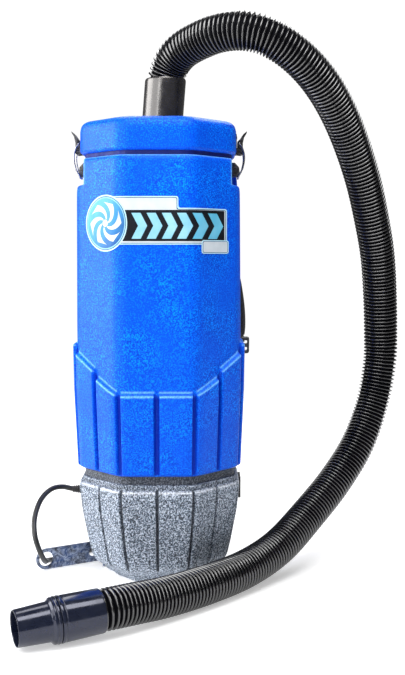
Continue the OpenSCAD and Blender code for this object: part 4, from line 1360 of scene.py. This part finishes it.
def edge_binding(name, line, across, widths, mirror):
    """Woven tape folded over both long edges of a padded strap."""
    half = np.array([width_at(widths, share) / 2 for share in np.linspace(0, 1, len(line))])
    outline = squarish(16, 5.8, 3.8, 0.7)
    edges = [offset_line(line, across, 0.0, sign * (half - 2.2)) for sign in (-1, 1)]
    return joined(name, [strip("edge", edge, across, lambda share: outline, mirror) for edge in edges])


def padded_strap(name, side, node, body, line, across, widths, thick, channels, mirror):
    """A pad with bound edges along a line."""
    length = length_of(line)
    pad = strip(f"{name}_pad_{side}", line, across,
                lambda share: padded_section(width_at(widths, share), thick, share, length, channels), mirror)
    piece(pad, "strap_fabric", body, f"{node}_{side}")
    piece(edge_binding(f"{name}_binding_{side}", line, across, widths, mirror), "webbing", body)


def tape(name, line, width, thick, mirror, across=SIDEWAYS, body="root"):
    """Flat webbing along a line."""
    made = strip(name, line, across, lambda share: flat_section(width, thick), mirror)
    piece(made, "webbing", body, sharp=60)


def shoulder_strap(name, mirror):
    line = curve(STRAP_PATH, 9)
    padded_strap("shoulder", name, "shoulder_strap", "root", line, SIDEWAYS, STRAP_WIDTHS, thick=13,
                 channels=[0.17, 0.33, 0.49, 0.65, 0.81], mirror=mirror)
    cover = line[int(len(line) * 0.30):]
    tape("shoulder_band_" + name, offset_line(cover, SIDEWAYS, 6.9), 25, 1.6, mirror)
    rows = []
    for start in (0.02, 0.93):
        part = cover[int(len(cover) * start):int(len(cover) * (start + 0.07)) + 2]
        out = strip_frames(part, SIDEWAYS)[1][0]
        a, b = (offset_line(part, SIDEWAYS, 7.9, shift) for shift in (-9.5, 9.5))
        crossed = [np.array(ends) for ends in ((a[0], b[0]), (a[0], b[-1]), (b[0], a[-1]))]
        rows += [(row, out) for row in [a, b] + crossed]
    stitching("shoulder_stitching_" + name, rows, mirror=mirror)


def ladder_lock(name, mirror):
    """The adjuster at the strap's end: a frame with two bars that the webbing goes round."""
    outer = fillet([(-14.5, -13), (14.5, -13), (14.5, 13), (-14.5, 13)], 4, 4)
    upper = fillet([(-11.4, 2.2), (11.4, 2.2), (11.4, 8.4), (-11.4, 8.4)], 1.2, 3)[::-1]
    lower = fillet([(-11.4, -8.8), (11.4, -8.8), (11.4, -2.6), (-11.4, -2.6)], 1.2, 3)[::-1]
    work = bmesh.new()
    loops = []
    for outline in (outer, upper, lower):
        verts = [work.verts.new((x, 0, z)) for x, z in outline]
        loops += [work.edges.new((verts[i - 1], verts[i])) for i in range(len(verts))]
    bmesh.ops.triangle_fill(work, use_beauty=True, edges=loops)
    mesh = bpy.data.meshes.new("lock")
    work.to_mesh(mesh)
    work.free()
    mesh.transform(Matrix.Scale(MM, 4))
    made = shown("ladder_lock_" + name, mesh)
    modify(made, "SOLIDIFY", thickness=4.6 * MM, offset=0)
    modify(made, "BEVEL", width=0.9 * MM, segments=3, limit_method="ANGLE")
    settle(made)
    x, y, z = LOCK_AT
    move(made, Matrix.Translation((x * mirror, y, z)) @ turned(LOCK_TILT, "X"))
    piece(made, "black_moulding", "root", "strap_webbing", sharp=40)


def adjuster_webbing(name, mirror):
    """The loop that holds the lock, and the webbing from the lock back to the plate with its loose tail."""
    tape("strap_loop_" + name, fillet(LOOP_PATH, 2.4, 4, closed=False), 21.5, 1.6, mirror)
    head = fillet(WEBBING_HEAD + WEBBING_PATH[:1], 2.0, 4, closed=False)
    line = np.vstack([head[:-1], curve(WEBBING_PATH, 8)])
    tape("strap_webbing_" + name, even(line, 70), 22, 1.8, mirror, across=(0.25, 0, 1))


def at_belt(points):
    return [(x, y, BELT_Z) for x, y in points]


def belt_wing(name, mirror):
    body = "belt_" + name
    padded_strap("belt", name, "belt", body, curve(at_belt(BELT_PATH), 12), UPRIGHT, BELT_WIDTHS, thick=12,
                 channels=[0.3, 0.62], mirror=mirror)
    web = np.vstack([curve(at_belt(BELT_WEB_PATH), 8), at_belt([BELT_WEB_END])])
    tape("belt_webbing_" + name, even(web, 90), 38, 2.0, mirror, UPRIGHT, body)
    tape("belt_tail_" + name, curve(at_belt(BELT_TAIL_PATH), 8), 36, 1.8, mirror, UPRIGHT, body)


PAD_SWELL = 4.5  # the most that a pad may swell
PAD_CLEAR = 0.5  # between a pad and the harness plate
SEAM_DEPTH, SEAM_WIDTH = 4.2, 3.0


def swell(pad):
    """Blows a pad up a little as cloth, but not through the harness plate."""
    rest = points_of(pad)
    change = modify(pad, "CLOTH")
    change.settings.use_pressure = True
    change.settings.uniform_pressure_force = 4.0
    change.settings.effector_weights.gravity = 0
    change.point_cache.frame_end = 20
    for step in range(1, 21):
        scene.frame_set(step)
    settle(pad)
    scene.frame_set(1)
    shift = points_of(pad) - rest
    far = np.linalg.norm(shift, axis=1)[:, None]
    moved = rest + shift * np.minimum(1, PAD_SWELL / np.maximum(far, 1e-6))
    moved[:, 1] = np.maximum(moved[:, 1], PLATE_BACK + PAD_CLEAR)
    put_points(pad, moved)
    modify(pad, "SUBSURF", levels=1, render_levels=1)
    settle(pad)


def simulated_pad(name, node, width, height, centre_z, corner, thick, seam_axis, seams):
    """A foam pad: a rounded block blown up as cloth, with channels pressed in and piping round its edge."""
    low, high = PLATE_BACK + 0.9, PLATE_BACK + thick
    half, tall = width / 2, height / 2
    outline = fillet([(-half, -tall), (half, -tall), (half, tall), (-half, tall)], corner, 8)

    def level(size, y):
        """A flat loop of the outline's shape at a depth y."""
        x, z = outline.T * size
        return np.column_stack([x, np.full(len(outline), y), z + centre_z])

    shrink = [(0.955, 0.0), (0.985, 0.12), (0.99, 0.55), (0.965, 0.86), (0.90, 0.97), (0.80, 1.0)]
    pad = ring_surface(name, [level(size, low + (high - low) * t) for size, t in shrink], cap=True)
    modify(pad, "REMESH", mode="VOXEL", voxel_size=4.5 * MM)
    settle(pad)
    swell(pad)
    points = points_of(pad)
    beside = points[:, "xyz".index(seam_axis)]
    depth = sum(SEAM_DEPTH * np.exp(-((beside - at) / SEAM_WIDTH) ** 2) for at in seams)
    points[:, 1] -= depth * smooth((points[:, 1] - (low + high) / 2) / 4)
    put_points(pad, points)
    piece(pad, "pad_fabric", "root", node)
    piping = ring_surface(name + "_piping", closed_tube(level(1.0, low + 5.5), 1.9, 12), loop=True)
    piece(piping, "webbing", "root", surface="piping")
    reach = (height if seam_axis == "x" else width) * 0.40
    along = np.linspace(-reach, reach, 24)
    rows = []
    for at in [seam + side for seam in seams for side in (-1.4, 1.4)]:
        row = [(at, v + centre_z) if seam_axis == "x" else (v, at) for v in along]
        rows.append((np.array([(x, pad_face(pad, x, z), z) for x, z in row]), (0, 1, 0)))
    stitching(name + "_stitching", rows)


def pad_face(pad, x, z):
    """How far out a pad's face is at a place, found by looking straight at it."""
    hit, at, *_ = pad.ray_cast(Vector((x, 300, z)) * MM, Vector((0, -1, 0)))
    return at.y / MM + 0.1 if hit else PLATE_BACK + 12


def closed_tube(line, radius, sides):
    """Rings of a tube round a closed flat loop that lies square to Y."""
    tangent = np.roll(line, -1, axis=0) - np.roll(line, 1, axis=0)
    tangent /= np.linalg.norm(tangent, axis=1)[:, None]
    side = np.array((0.0, 1.0, 0.0))
    c, w = circle(sides)
    return [p + radius * (c * side + w * other) for p, other in zip(line, np.cross(tangent, side))]


for side_name, side_sign in SIDES:
    shoulder_strap(side_name, side_sign)
    ladder_lock(side_name, side_sign)
    adjuster_webbing(side_name, side_sign)
    belt_wing(side_name, side_sign)
simulated_pad("back_pad_cover", "back_pad", 104, 130, 390, 24, 16.5, "z", (347, 390, 433))
simulated_pad("lumbar_pad_cover", "lumbar_pad", 138, 92, BELT_Z, 24, 21.5, "x", (-36, 0, 36))


# ---------------------------------------------------------------- carried-over CAD pieces

SLOT_OF = {part["node"]: part["material_slot"] for part in frame["record"]["subparts"]}

# Bevel widths, in millimetres, on the CAD pieces that show.
BEVELS = {
    "latch_catches": 1.0, "latch_plate_left": 0.35, "latch_plate_right": 0.35, "latch_lever_left": 0.3,
    "latch_lever_right": 0.3, "switch_housing": 0.7, "switch_rocker": 0.6, "cord_bracket": 0.5,
    "harness_plate": 1.2, "belt_buckle_left": 0.9, "belt_buckle_right": 1.2, "bracket_screws": 0.2,
    "harness_screws": 0.4, "body_screws": 0.15, "latch_rivets": 0.15, "collar_nut": 0.5,
    "paper_bag_collar": 0.5,
}


def dress_cad_node(name, node):
    """Gives a CAD node that shows its finish and soft edges."""
    for slot in node.material_slots:
        # The lid's gasket shows the navy of the shaded seam, a painted shade, instead of its own finish.
        slot.material = SURFACES["seam_shade_navy" if name == "lid_gasket" else SLOT_OF[name]]
    if name in BEVELS:
        modify(node, "WELD", merge_threshold=0.01 * MM)
        modify(node, "BEVEL", width=BEVELS[name] * MM, segments=3, limit_method="ANGLE",
               angle_limit=math.radians(35), harden_normals=True)
        smooth_faces(node)


for node_name, cad_node in frame["nodes"].items():
    if not cad_node.hide_render:
        dress_cad_node(node_name, cad_node)


# ---------------------------------------------------------------- floor and light

FLOOR_REACH = 1700


def make_floor():
    finish = Finish("floor", Specular_IOR_Level=0.15, Emission_Color=(1, 1, 1, 1), Emission_Strength=0.42)
    tone = finish.uneven(180, (0.88, 0.88, 0.885), (0.90, 0.90, 0.90), 3)
    surface = finish.done(tone, finish.uneven(40, 0.6, 0.7))
    corners = [(x * FLOOR_REACH, y * FLOOR_REACH, 0) for x, y in ((-1, -1), (1, -1), (1, 1), (-1, 1))]
    floor = mesh_object("floor", corners, [(0, 1, 2, 3)])
    floor.data.materials.append(surface)


def soft_box(name, at, aim, size, power):
    """A rectangular lamp that the camera doesn't see. Its places and size are metres."""
    light = bpy.data.lights.new(name, "AREA")
    light.shape = "RECTANGLE"
    light.size, light.size_y = size
    light.energy = power
    made = bpy.data.objects.new(name, light)
    made.location = at
    made.rotation_euler = (Vector(aim) - Vector(at)).to_track_quat("-Z", "Y").to_euler()
    made.visible_camera = False
    scene.collection.objects.link(made)


def make_light():
    """Five soft lamps in a room that looks white to the camera and lights the machine only a little."""
    world = bpy.data.worlds.new("studio")
    scene.world = world
    world.use_nodes = True
    tree = world.node_tree
    ground = tree.nodes["Background"]
    seen = tree.nodes.new("ShaderNodeLightPath")
    strength = tree.nodes.new("ShaderNodeMapRange")
    strength.inputs["To Min"].default_value = 0.12
    strength.inputs["To Max"].default_value = 1.05
    tree.links.new(seen.outputs["Is Camera Ray"], strength.inputs["Value"])
    tree.links.new(strength.outputs["Result"], ground.inputs["Strength"])
    ground.inputs["Color"].default_value = (1, 1, 1, 1)
    soft_box("window", (-1.45, -1.0, 0.95), (0, 0, 0.35), (1.5, 1.2), 17)
    soft_box("strip", (-0.80, -1.5, 0.85), (0.05, 0, 0.35), (0.22, 1.3), 8)
    soft_box("front", (0.12, -0.58, 1.35), (0, 0, 0.45), (0.9, 0.55), 13)
    soft_box("left", (-1.9, 0.1, 0.8), (0, 0, 0.4), (1.2, 1.5), 34)
    soft_box("back", (0.3, 1.3, 2.1), (0.1, 0.6, 0), (1.8, 1.6), 40)
    scene.view_settings.view_transform = "Standard"


make_floor()
make_light()
